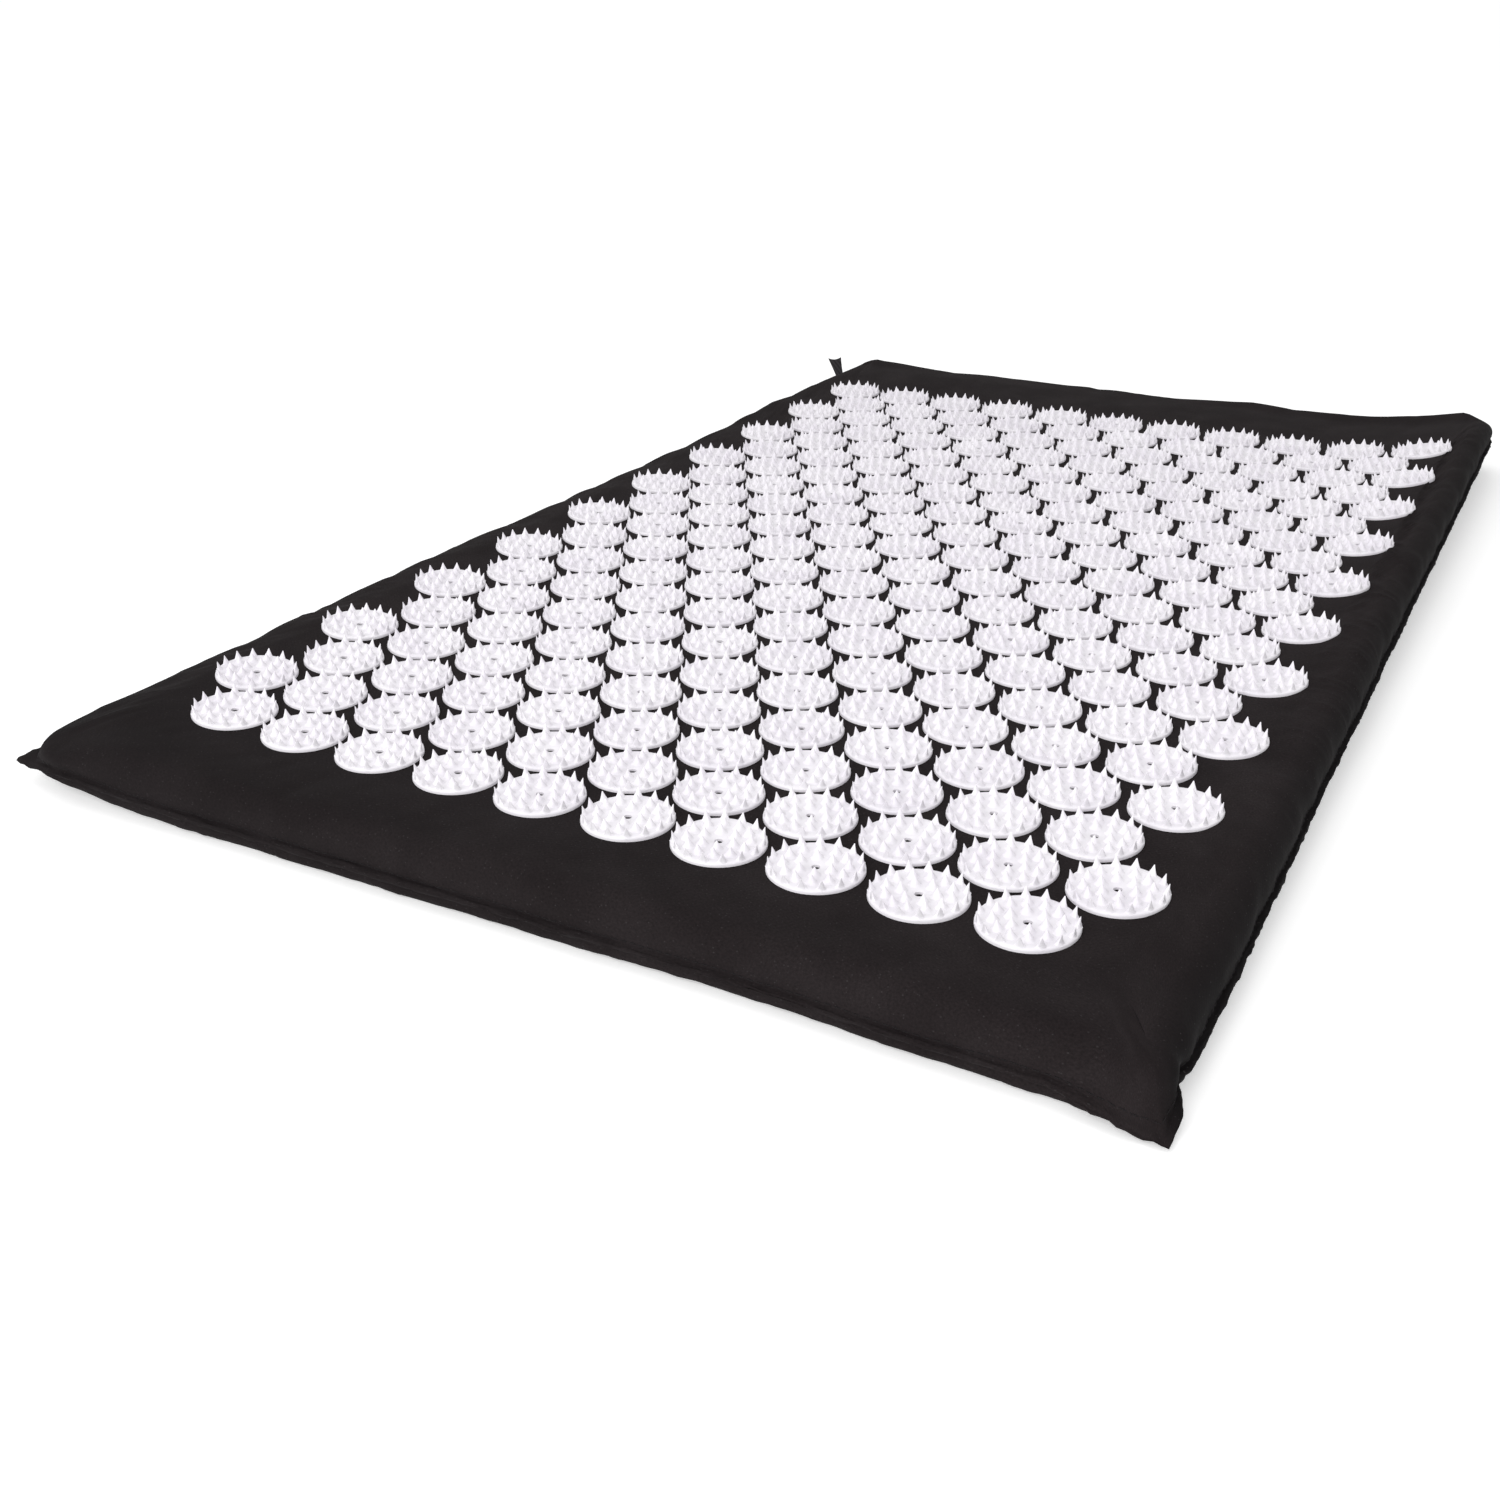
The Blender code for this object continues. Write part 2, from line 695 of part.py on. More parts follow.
def build_mat():
    for old in list(bpy.data.objects):
        bpy.data.objects.remove(old)
    cotton = make_material("black_cotton", (0.018, 0.015, 0.015), 0.9)
    plastic = make_material("white_abs", (0.86, 0.85, 0.88), 0.35)
    foam = make_material("grey_foam", (0.35, 0.35, 0.36), 0.95)
    tape = make_material("black_polyester_tape", (0.020, 0.018, 0.020), 0.8)
    nylon = make_material("black_nylon", (0.02, 0.02, 0.02), 0.45)
    enamel = make_material("black_enamelled_zinc", (0.02, 0.02, 0.02), 0.3)
    xs, ys = grid_lines()
    stations = edge_stations(xs, ys)
    build_foam(stations, xs, ys, foam)
    build_top_panel(stations, cotton)
    build_bottom_panel(stations, xs, ys, cotton)
    build_strip("cover_far_strip", field_far_y + clearance / 2, hole_far_y - clearance, [], cotton)
    for index in range(row_count):
        build_disc_row(index, plastic)
    build_tape("zip_tape_upper", 1, upper_tape_width, tape)
    build_tape("zip_tape_lower", -1, lower_tape_width, tape)
    build_bead("zip_teeth_upper", 1, nylon)
    build_bead("zip_teeth_lower", -1, nylon)
    build_stops(enamel)
    slider = build_slider(enamel)
    pull = build_pull(enamel)
    pull.parent = slider
    pull.matrix_parent_inverse = Matrix.Translation(-slider.location)
    build_tape_tail(tape)


build_mat()
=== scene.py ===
import math

import bmesh
import bpy
import numpy as np
from mathutils import Euler, Matrix, Vector
from mathutils.geometry import delaunay_2d_cdt


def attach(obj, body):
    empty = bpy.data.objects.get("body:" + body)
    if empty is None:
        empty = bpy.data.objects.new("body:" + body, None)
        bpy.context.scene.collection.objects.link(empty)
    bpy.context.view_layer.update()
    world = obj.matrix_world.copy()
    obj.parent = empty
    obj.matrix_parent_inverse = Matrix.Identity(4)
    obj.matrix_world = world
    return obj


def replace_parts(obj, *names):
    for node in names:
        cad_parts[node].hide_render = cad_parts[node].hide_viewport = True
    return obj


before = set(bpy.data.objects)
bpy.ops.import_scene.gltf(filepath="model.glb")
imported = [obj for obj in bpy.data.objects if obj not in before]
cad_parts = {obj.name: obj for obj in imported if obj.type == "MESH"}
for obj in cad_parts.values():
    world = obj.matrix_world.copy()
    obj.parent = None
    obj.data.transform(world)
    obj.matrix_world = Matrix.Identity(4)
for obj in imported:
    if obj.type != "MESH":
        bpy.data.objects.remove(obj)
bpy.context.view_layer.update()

# Acupressure mat seen from above its near right corner. Metres, +Z up, +Y towards the zip end.
rng = np.random.default_rng(27)  # one seeded source for every small irregularity
print("frame loaded:", len(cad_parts), "nodes")


def hexColour(code):  # sRGB hex to the linear colour that Blender wants
    parts = [int(code[k:k + 2], 16) / 255 for k in (1, 3, 5)]
    linear = [p / 12.92 if p <= 0.04045 else ((p + 0.055) / 1.055) ** 2.4 for p in parts]
    return (*linear, 1.0)


def addNode(tree, kind, values):  # capitals and numbers are sockets, the rest is settings
    node = tree.nodes.new("ShaderNode" + kind)
    for key, value in values.items():
        if isinstance(value, bpy.types.NodeSocket):
            tree.links.new(value, node.inputs[key])
        elif isinstance(key, int) or key[0].isupper():
            node.inputs[key].default_value = value
        else:
            setattr(node, key, value)
    return node


def addMath(tree, operation, *values):
    return addNode(tree, "Math", {"operation": operation, **dict(enumerate(values))}).outputs[0]


def startMaterial(name, code, roughness, ior, more=None):  # code is its colour, more are further sockets
    material = bpy.data.materials.new(name)
    material.use_nodes = True
    material.diffuse_color = hexColour(code)
    tree = material.node_tree
    shader = tree.nodes["Principled BSDF"]
    sockets = {"Base Color": hexColour(code), "Roughness": roughness, "IOR": ior, **(more or {})}
    for key, value in sockets.items():
        shader.inputs[key].default_value = value
    return material, tree, shader


def placeOn(tree):  # where a point lies on its piece, in metres
    return addNode(tree, "TexCoord", {}).outputs["Object"]


def noiseAt(tree, place, scale, detail, roughness=0.5):  # uneven pattern between 0 and 1
    values = {"Scale": scale, "Detail": detail, "Roughness": roughness, "Vector": place}
    return addNode(tree, "TexNoise", values).outputs["Fac"]


def rampColour(tree, source, stops):  # a pattern turned into colour, between two stops of (place, hex colour)
    node = addNode(tree, "ValToRGB", {"Fac": source})
    for element, (place, code) in zip(node.color_ramp.elements, stops):
        element.position = place
        element.color = hexColour(code)
    return node.outputs["Color"]


def toneFrom(tree, shader, source, stops):
    tree.links.new(rampColour(tree, source, stops), shader.inputs["Base Color"])


def glossFrom(tree, shader, source, low, high):  # roughness that follows a pattern
    gloss = addNode(tree, "MapRange", {"To Min": low, "To Max": high, "Value": source})
    tree.links.new(gloss.outputs["Result"], shader.inputs["Roughness"])


def raiseFrom(tree, shader, source, strength, depth):  # bump that follows a pattern, depth in metres
    bump = addNode(tree, "Bump", {"Strength": strength, "Distance": depth, "Height": source})
    tree.links.new(bump.outputs["Normal"], shader.inputs["Normal"])


def addObject(name, data):
    item = bpy.data.objects.new(name, data)
    bpy.context.scene.collection.objects.link(item)
    return item


def meshPiece(name, vertices, faces, material, body, sharpAt=None):
    mesh = bpy.data.meshes.new(name)
    mesh.from_pydata([tuple(v) for v in vertices], [], [tuple(f) for f in faces])
    mesh.materials.append(material)
    mesh.shade_smooth()
    if sharpAt is not None:
        mesh.set_sharp_from_angle(angle=math.radians(sharpAt))
    piece = addObject(name, mesh)
    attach(piece, body)
    return piece


cotton = {
    "paintedShade": "#110e0f",  # painted shade: darker tone given to the side walls, which face away from the lights
    "colour": "#1d1819",  # black dye gone slightly warm and grey
    "worn": "#252021",  # where the nap is rubbed paler
    "frontShade": 0.5,  # share of painted shade along the front edge, most of all at its left end
    "frontY": (-0.2, -0.3),  # from where to where that sets in
    "roughness": 0.92,
    "patchRate": 0.035,  # paler patches per mm
    "threadSpacing": 0.9,  # mm; real thread is about 0.45 mm, drawn twice as coarse so that it shows
    "napSpacing": 0.8,  # mm between the pale and dark flecks of the nap
    "speckSpacing": 1.7,  # mm between specks of lint
    "speckReach": 0.13,  # their radius, as a share of that
    "speckColour": "#383536",
}


def makeCotton():  # plain-woven dyed cotton: matt, with a square grain, specks of lint and soft paler patches, and painted shade on the side walls and along the front edge
    material, tree, shader = startMaterial("plainWovenCotton", cotton["colour"], cotton["roughness"], 1.5,
                                           {"Specular IOR Level": 0.13})
    grid = addNode(tree, "Attribute", {"attribute_name": "threadPlace"})  # mm along the cloth
    place = grid.outputs["Vector"]
    patches = noiseAt(tree, place, cotton["patchRate"], 3.0, 0.55)
    patchTone = rampColour(tree, patches, [(0.38, cotton["colour"]), (0.68, cotton["worn"])])
    nap = noiseAt(tree, place, 1 / cotton["napSpacing"], 3.0, 0.8)
    napTone = addNode(tree, "MapRange",
                      {"From Min": 0.3, "From Max": 0.7, "To Min": 0.62, "To Max": 1.45, "Value": nap})
    napped = addNode(tree, "VectorMath",
                     {"operation": "SCALE", 0: patchTone, "Scale": napTone.outputs["Result"]})
    unshaded = addNode(tree, "Attribute", {"attribute_name": "unshaded"})  # 1 on top, 0 on the side walls, where painted shade goes
    # painted shade: the side walls, and the front edge in part, are mixed towards a darker tone
    ground = addNode(tree, "Mix", {"data_type": "RGBA", 0: unshaded.outputs["Fac"],
                                             6: hexColour(cotton["paintedShade"]), 7: napped.outputs["Vector"]})
    lint = addNode(tree, "TexVoronoi", {"Scale": 1 / cotton["speckSpacing"], "Vector": place})
    speck = addMath(tree, "LESS_THAN", lint.outputs["Distance"], cotton["speckReach"])
    speckShare = addMath(tree, "MULTIPLY", speck, noiseAt(tree, place, 0.4, 2.0))  # some specks are fainter
    tone = addNode(tree, "Mix", {"data_type": "RGBA", 0: speckShare, 6: ground.outputs[2],
                                           7: hexColour(cotton["speckColour"])})
    tree.links.new(tone.outputs[2], shader.inputs["Base Color"])
    split, rate = addNode(tree, "SeparateXYZ", {"Vector": place}), math.pi / cotton["threadSpacing"]
    warp, weft = (addMath(tree, "SINE", addMath(tree, "MULTIPLY", split.outputs[axis], rate))
                  for axis in ("X", "Y"))  # each thread is half a sine wave
    slub = noiseAt(tree, place, 0.9, 4.0, 0.7)
    height = addMath(tree, "MULTIPLY_ADD", slub, 1.4, addMath(tree, "MULTIPLY", warp, weft))
    raiseFrom(tree, shader, height, 0.12, 0.00018)
    return material


discPlastic = {
    "colour": "#f8f5fa",  # white with a trace of blue brightener
    "shade": "#f2eef5",
    "roughness": 0.34,
}


def makeDiscPlastic():  # injection-moulded white ABS: satin, nearly even, with faint flow marks
    colour = discPlastic["colour"]
    material, tree, shader = startMaterial("mouldedWhiteAbs", colour, discPlastic["roughness"], 1.53)
    place = placeOn(tree)
    flow = noiseAt(tree, place, 60.0, 2.0)  # 17 mm flow marks
    toneFrom(tree, shader, flow, [(0.35, discPlastic["shade"]), (0.6, colour)])
    glossFrom(tree, shader, flow, 0.28, 0.42)
    raiseFrom(tree, shader, noiseAt(tree, place, 2500.0, 2.0), 0.12, 0.00004)  # 0.4 mm peel
    return material


def makeFoam():  # open-cell polyurethane: pale grey, dull, pitted with cells, with painted shade in the pits
    material, tree, shader = startMaterial("openCellFoam", "#9e9ea0", 0.95, 1.45, {"Specular IOR Level": 0.2})
    cells = addNode(tree, "TexVoronoi", {"Scale": 700.0, "Vector": placeOn(tree)})  # 1.4 mm cells
    # painted shade: darker where the cell distance is small, in the pits that the bump sinks
    toneFrom(tree, shader, cells.outputs["Distance"], [(0.1, "#6f6f72"), (0.5, "#a6a6a8")])
    raiseFrom(tree, shader, cells.outputs["Distance"], 0.6, 0.0004)
    return material


def makeTapeWeave():  # woven polyester zip tape: black, its raised ribs painted lighter as a painted sheen and the grooves darker as painted shade, with a fine slant
    material, tree, shader = startMaterial("wovenPolyesterTape", "#232124", 0.75, 1.55,
                                           {"Specular IOR Level": 0.35, "Sheen Weight": 0.05})
    rib = addNode(tree, "TexWave", {
        "Scale": 160.0, "Distortion": 0.6, "bands_direction": "DIAGONAL", "Vector": placeOn(tree),
    })  # 1 mm ribs; real ones are about 0.6 mm
    # painted sheen on the raised ribs and painted shade between them
    toneFrom(tree, shader, rib.outputs["Fac"], [(0.2, "#1b191b"), (0.8, "#302d31")])
    raiseFrom(tree, shader, rib.outputs["Fac"], 0.5, 0.0002)
    return material


def makeNylon():  # drawn nylon filament, dyed black: smooth, half-shiny
    material, tree, shader = startMaterial("drawnBlackNylon", "#1c1c1e", 0.4, 1.53)
    glossFrom(tree, shader, noiseAt(tree, placeOn(tree), 900.0, 2.0), 0.32, 0.52)  # scuffs about 1 mm long
    return material


def makeEnamel():  # black baked enamel on die-cast zinc: smooth gloss with light orange peel, its raised spots painted lighter as a painted highlight
    material, tree, shader = startMaterial("blackEnamelledZinc", "#161617", 0.28, 1.5,
                                           {"Coat Weight": 0.5, "Coat Roughness": 0.12})
    peel = noiseAt(tree, placeOn(tree), 500.0, 3.0)
    # painted highlight: lighter colour where the peel bump is raised
    toneFrom(tree, shader, peel, [(0.55, "#161617"), (0.75, "#2b2b2d")])
    raiseFrom(tree, shader, peel, 0.15, 0.00005)
    return material


def makeThread():  # spun polyester sewing thread: dull black, with the twist of its plies
    material, tree, shader = startMaterial("spunBlackThread", "#161314", 0.8, 1.55, {"Specular IOR Level": 0.2})
    ply = addNode(tree, "TexWave",
                  {"Scale": 900.0, "bands_direction": "DIAGONAL", "Vector": placeOn(tree)})
    toneFrom(tree, shader, ply.outputs["Fac"], [(0.2, "#121011"), (0.8, "#1e1a1c")])
    return material


blackCotton, whiteAbs, greyFoam, blackThread = makeCotton(), makeDiscPlastic(), makeFoam(), makeThread()
tapeWeave, blackNylon, blackEnamel = makeTapeWeave(), makeNylon(), makeEnamel()
print("materials made")

mat = {
    "halfX": 0.2020,
    "halfY": 0.3402,
    "height": 0.0200,
    "curlStart": 0.100,  # the long edges lift off the floor beyond this distance from the middle line
    "curlWidth": 0.102,
    "rightCurl": 0.0185,  # lift of the right edge at the far end
    "leftCurl": 0.0060,  # lift of the left edge at the near end
}


def lift(x, y):  # height of the underside over the floor, for numbers or arrays
    along = (y + mat["halfY"]) / (2 * mat["halfY"])
    right = np.clip((x - mat["curlStart"]) / mat["curlWidth"], 0, None) ** 2 * along * mat["rightCurl"]
    left = np.clip((-x - mat["curlStart"]) / mat["curlWidth"], 0, None) ** 2 * (1 - along) * mat["leftCurl"]
    return right + left


def spread(start, stop, step):  # parameter values that include the start but not the stop
    count = max(2, round(abs(stop - start) / step))
    return start + (stop - start) * np.arange(count) / count


def smoothLoop(values, passes):
    for _ in range(passes):
        values = (np.roll(values, 1, 0) + 2 * values + np.roll(values, -1, 0)) / 4
    return values


def window(value, start, stop, soft):  # 1 between start and stop, 0 outside, with soft ends
    return np.clip((value - start) / soft, 0, 1) * np.clip((stop - value) / soft, 0, 1)


def ringAngles(sides):  # bearings of the points round a tube or disc
    return [2 * math.pi * j / sides for j in range(sides)]


def tubeFaces(start, rings, sides):  # wall of a tube whose rings of points follow one another from start
    faces = []
    for a in range(start, start + (rings - 1) * sides, sides):
        for j in range(sides):
            after = (j + 1) % sides
            faces.append((a + j, a + after, a + sides + after, a + sides + j))
    return faces


cover = {
    "fieldHalfX": 0.1762,  # the cloth lies flat up to here, under the outer discs
    "fieldNearY": -0.3045,
    "fieldFarY": 0.2671,
    "fieldCorner": 0.004,
    "cornerRadius": 0.014,
    "shoulder": 0.0095,
    "creaseTop": 0.0071,  # where the top panel turns out into the seam
    "creaseBottom": 0.0051,
    "tuck": 0.0005,  # the cloth is drawn in this far beside the seam
    "lipOut": 0.0014,
    "bottomRound": 0.0030,
    "lowWall": 0.3,  # share of the lower round that stands straight
    "bottomBorder": 0.012,
    "leftDrop": [(-340, 4.4), (-240, 3.9), (-120, 3.8), (-30, 3.4), (60, 3.0), (120, 2.0), (195, -0.6),
                 (260, -1.0), (340, -1.2)],  # mm, y then how far the border sinks beyond the discs
    "rightDrop": [(-340, 0.6), (0, 0.8), (340, 1.2)],
    "dropHalfX": 0.19,  # the sides sink in full from here out, and the middle not at all
    "dropRing": 1.35,  # ring up to which it takes to sink
    "rightEdge": [(-340, 202.9), (-295, 202.0), (-227, 201.1), (-173, 199.9), (-107, 199.0), (-28, 197.5),
                  (69, 195.9), (127, 195.4), (194, 194.1), (270, 192.3), (340, 191.4)],  # mm, y then x
    "leftEdge": [(-340, 201.3), (-287, 200.3), (-245, 200.6), (-120, 202.7), (-29, 201.8), (340, 202.0)],
    "nearEdge": [(-202, 339.6), (-156, 338.6), (-104, 336.9), (-30, 336.3), (75, 335.6), (132, 337.3),
                 (181, 337.6), (202, 339.6)],  # mm, x then distance from the middle
    "farRoll": [(-200, 2.6), (-178, 2.0), (-146, 0.8), (-91, 0.5), (-66, 0.6), (10, 0.5), (34, 1.4), (57, 3.0),
                (81, 2.3), (104, 2.2), (126, 1.8), (150, 2.3), (165, 3.3), (174, 3.9), (181, 2.0), (188, 0.3),
                (200, 0.0)],  # mm, x then height of the roll along the far edge
    "step": {"near": 0.0018, "right": 0.0012, "far": 0.0018, "left": 0.0018},
    "cornerStep": 0.0018,
    "gridStep": 0.006,
}
trial = {  # the coarse copy that is simulated as cloth
    "step": 0.0065,
    "gridStep": 0.012,
    "frames": 20,
    "heldRings": (0, 3, 4, 5.5, 6),
    "cloth": {"vertex_group_mass": "held", "quality": 6, "mass": 0.2, "tension_stiffness": 12,
              "compression_stiffness": 12, "shear_stiffness": 4, "bending_stiffness": 0.3,
              "shrink_min": -0.02, "use_pressure": True, "uniform_pressure_force": 4.0},
    "share": 0.28,  # of its move that the cover takes over
    "swell": 0.0014,  # most that the cover may move out, and in
    "sink": 0.0007,
}
earKeys = ("turn", "tip", "before", "after", "drag", "sag", "bulge", "belly", "thick", "pinch")
ears = [dict(zip(earKeys, row)) for row in (  # the sewn corners: near left, near right, far right, far left
    (7.5, (-0.2120, -0.3345, -0.0010), 0.018, 0.016, 0.35, 0.0032, 0.0, 0.0, 0.0036, 0.0),
    (1.5, (0.2060, -0.3428, 0.0006), 0.028, 0.014, 0.90, 0.0020, 0.0014, 0.0010, 0.0, 0.0024),
    (3.5, (0.1903, 0.3410, 0.0030), 0.030, 0.012, 0.50, 0.0048, 0.0016, 0.0, 0.0, 0.0),
    (5.5, (-0.2040, 0.3420, 0.0060), 0.012, 0.012, 0.30, 0.0, 0.0, 0.0, 0.0, 0.0),
)]  # turn: place on the outline; before, after: seam drawn out on either side; bulge, belly: its bow there
earForm = {
    "firstRing": 1.2,  # the cloth is dragged along from this ring down
    "lean": 1.3,  # the bow is fullest a little nearer the tip
    "round": 0.4,
    "ragged": ((0.0005, 1300, 0), (0.0004, 2900, 1)),  # unevenness of the loose edge: size, rate, offset
    "pinchReach": 0.004,
    "sagReach": 0.022,
    "sagFrom": 0.008,  # only the cloth above this height sags, in full from the height of the discs
}
zipper = {
    "left": -0.160,
    "right": 0.090,
    "height": 0.006,
    "taper": 0.005,
    "upperEdge": 0.0095,
    "lowerEdge": 0.0025,
    "depth": 0.0044,
    "toothPitch": 0.0016,
    "beadFront": 0.3402,
    "beadBack": 0.3388,
    "beadWidth": 0.0019,
    "beadSides": 10,
    "beadSlant": 0.0003,
    "groove": 0.20,  # share of the bead's radius that is lost between two turns of the coil
    "slot": 0.0012,
    "tapeFront": 0.3385,
    "tapeThickness": 0.0005,
    "tapeRib": 0.00008,
    "upperTape": 0.0050,
    "lowerTape": 0.0034,
    "easeWidth": 0.00014,  # bevel on the metal parts
    "easeAngle": 35,
}
lipRing = 3.5  # the sewn lip's outermost ring
simRings = [0, 0.33, 0.67, 1, 1.25, 1.5, 1.75, 2, 2.5, 3, 4, 4.5, 5, 5.5, 6]
fineRings = (list(np.linspace(0, 1, 12)[:-1]) + list(1 + np.linspace(0, 1, 11)[:-1]) + [2, 2.35, 2.7]
             + list(3 + np.linspace(0, 1, 11)[:-1]) + list(4 + np.linspace(0, 1, 6)[:-1]) + [5, 5.5, 6])


def edgeTable(name, places):
    table = np.array(cover[name]) / 1000
    return np.interp(places, table[:, 0], table[:, 1])


def edgeDrop(outline):  # how far the border sinks, on the side that each point is on
    right, left = edgeTable("rightDrop", outline[:, 1]), edgeTable("leftDrop", outline[:, 1])
    return np.where(outline[:, 0] > 0, right, left)


def cornerX(sideX, sideY):  # where a short side meets the round of its corner
    radius = cover["cornerRadius"]
    edge = edgeTable("rightEdge" if sideX > 0 else "leftEdge", sideY * (mat["halfY"] - radius))
    return sideX * (edge - radius)


def coverStations(step):  # points round the mat, anticlockwise from the near left corner
    radius, inner = cover["cornerRadius"], cover["fieldCorner"]
    halfX, halfY = mat["halfX"] - radius, mat["halfY"] - radius
    fieldX, near, far = cover["fieldHalfX"] - inner, cover["fieldNearY"] + inner, cover["fieldFarY"] - inner
    corners = {"near": (1, -1), "right": (1, 1), "far": (-1, 1), "left": (-1, -1)}  # where each side ends
    rows = []  # turn, outline x, y, base x, y; a side takes one turn and a corner the next
    for number, (side, (sideX, sideY)) in enumerate(corners.items()):
        length = 2 * (halfX if side in ("near", "far") else halfY)
        for share in spread(0, 1, step[side] / length):
            reach = 2 * share - 1
            if side == "near":
                x = cornerX(-1, -1) + share * (cornerX(1, -1) - cornerX(-1, -1))
                row = (x, -edgeTable("nearEdge", x), reach * fieldX, cover["fieldNearY"])
            elif side == "right":
                y = reach * halfY
                row = (edgeTable("rightEdge", y), y, cover["fieldHalfX"], near + share * (far - near))
            elif side == "far":
                x = cornerX(1, 1) + share * (cornerX(-1, 1) - cornerX(1, 1))
                row = (x, mat["halfY"], -reach * fieldX, cover["fieldFarY"])
            else:
                y = -reach * halfY
                row = (-edgeTable("leftEdge", y), y, -cover["fieldHalfX"], far + share * (near - far))
            rows.append((2 * number + share, *row))
        endY = edgeTable("nearEdge", sideX * halfX) if sideY < 0 else mat["halfY"]
        centre = (cornerX(sideX, sideY), sideY * (endY - radius))
        baseCentre = (sideX * fieldX, near if sideY < 0 else far)
        startAngle = math.radians(90 * number - 90)
        for share in spread(0, 1, max(step[side], cover["cornerStep"]) / (radius * math.pi / 2)):
            angle = startAngle + share * math.pi / 2
            way = (math.cos(angle), math.sin(angle))
            rows.append((2 * number + 1 + share, centre[0] + radius * way[0], centre[1] + radius * way[1],
                         baseCentre[0] + inner * way[0], baseCentre[1] + inner * way[1]))
    rows = np.array(rows)
    outline = smoothLoop(rows[:, 1:3], 2)
    along = np.roll(outline, -1, 0) - np.roll(outline, 1, 0)
    outward = np.stack([along[:, 1], -along[:, 0]], 1)
    outward /= np.linalg.norm(outward, axis=1, keepdims=True)
    outward = smoothLoop(outward, 3)
    outward /= np.linalg.norm(outward, axis=1, keepdims=True)
    steps = np.linalg.norm(np.roll(outline, -1, 0) - outline, axis=1)
    return {"turn": rows[:, 0], "outline": outline, "outward": outward, "base": rows[:, 3:5],
            "reach": np.concatenate([[0], np.cumsum(steps)[:-1]]), "length": steps.sum()}


def gapTo(stations, turn):  # distance along the outline from a place on it, negative before it
    place = np.interp(turn, stations["turn"], stations["reach"])
    half = stations["length"] / 2
    return (stations["reach"] - place + half) % stations["length"] - half


def runDown(grid):  # distance of each ring down the cloth from the first
    return np.cumsum(np.linalg.norm(np.diff(grid, axis=1, prepend=grid[:, :1]), axis=2), axis=1)


def drawEars(stations, rings, grid):  # the seam runs out to each sewn corner, and takes the cloth with it
    if lipRing not in rings:  # the simulated copy has no lip
        return grid
    firstRing, roundness = earForm["firstRing"], earForm["round"]
    for ear in ears:
        gap = gapTo(stations, ear["turn"])
        share = np.where(gap < 0, 1 + gap / ear["before"], 1 - gap / ear["after"])
        lip = grid[:, rings.index(lipRing)]
        tip = np.array(ear["tip"]) + (0, 0, float(lift(*ear["tip"][:2])))
        starts = [lip[np.argmin(np.abs(gap + ear["before"]))], lip[np.argmin(np.abs(gap - ear["after"]))]]
        start = np.where((gap < 0)[:, None], starts[0], starts[1])
        goal = start + (tip - start) * share[:, None]
        bow = np.sin(math.pi * np.clip(share, 0, 1) ** earForm["lean"])
        bow = bow * np.where(gap > 0, ear["bulge"], ear["belly"])
        goal[:, :2] += stations["outward"] * bow[:, None]
        ragged = sum(size * np.sin(gap * rate + offset) for size, rate, offset in earForm["ragged"])
        goal += np.stack([ragged * 0.4, -ragged * 0.4, ragged], 1) * np.clip(share * 3, 0, 1)[:, None]
        pinch = ear["pinch"] * np.exp(-((gap - ear["after"]) / earForm["pinchReach"]) ** 2)
        move = np.where((share > 0)[:, None], goal - lip, 0)
        fade = np.clip(share, 0, 1)[:, None] ** 0.5
        for k, ring in enumerate(rings):
            rounded = math.sin(math.pi * (ring - 3)) ** roundness if 3 <= ring <= 4 else 0
            if firstRing < ring < 3:
                grid[:, k] += move * fade * ear["drag"] * ((ring - firstRing) / (3 - firstRing)) ** 2
            elif 3 <= ring <= lipRing:
                grid[:, k] += move * (ear["drag"] * fade + (1 - ear["drag"] * fade) * rounded)
            elif lipRing < ring <= 4:
                grid[:, k] += move * max(rounded, 0.5)
            elif 4 < ring < 5:
                grid[:, k] += move * 0.5 * (5 - ring)
            if 3 <= ring <= 4:
                grid[:, k, 2] += ear["thick"] * (lipRing - ring) * np.clip(share, 0, 0.8)
            drawnIn = pinch * np.clip((ring - 1.3) / 1.2, 0, 1) * np.clip(5.6 - ring, 0, 1)
            grid[:, k, :2] -= stations["outward"] * drawnIn[:, None]
        corner = np.array([math.copysign(mat["halfX"], tip[0]), math.copysign(mat["halfY"], tip[1])])
        away = np.linalg.norm(grid[:, :, :2] - corner, axis=2)
        height = np.clip((grid[:, :, 2] - earForm["sagFrom"]) / (mat["height"] - earForm["sagFrom"]), 0, 1)
        grid[:, :, 2] -= ear["sag"] * np.exp(-(away / earForm["sagReach"]) ** 2) * height
    return grid


def dropShare(ring):  # the border sinks smoothly from the discs to beyond the start of the shoulder
    reach = min(1, ring / cover["dropRing"])
    return reach * reach * (3 - 2 * reach)


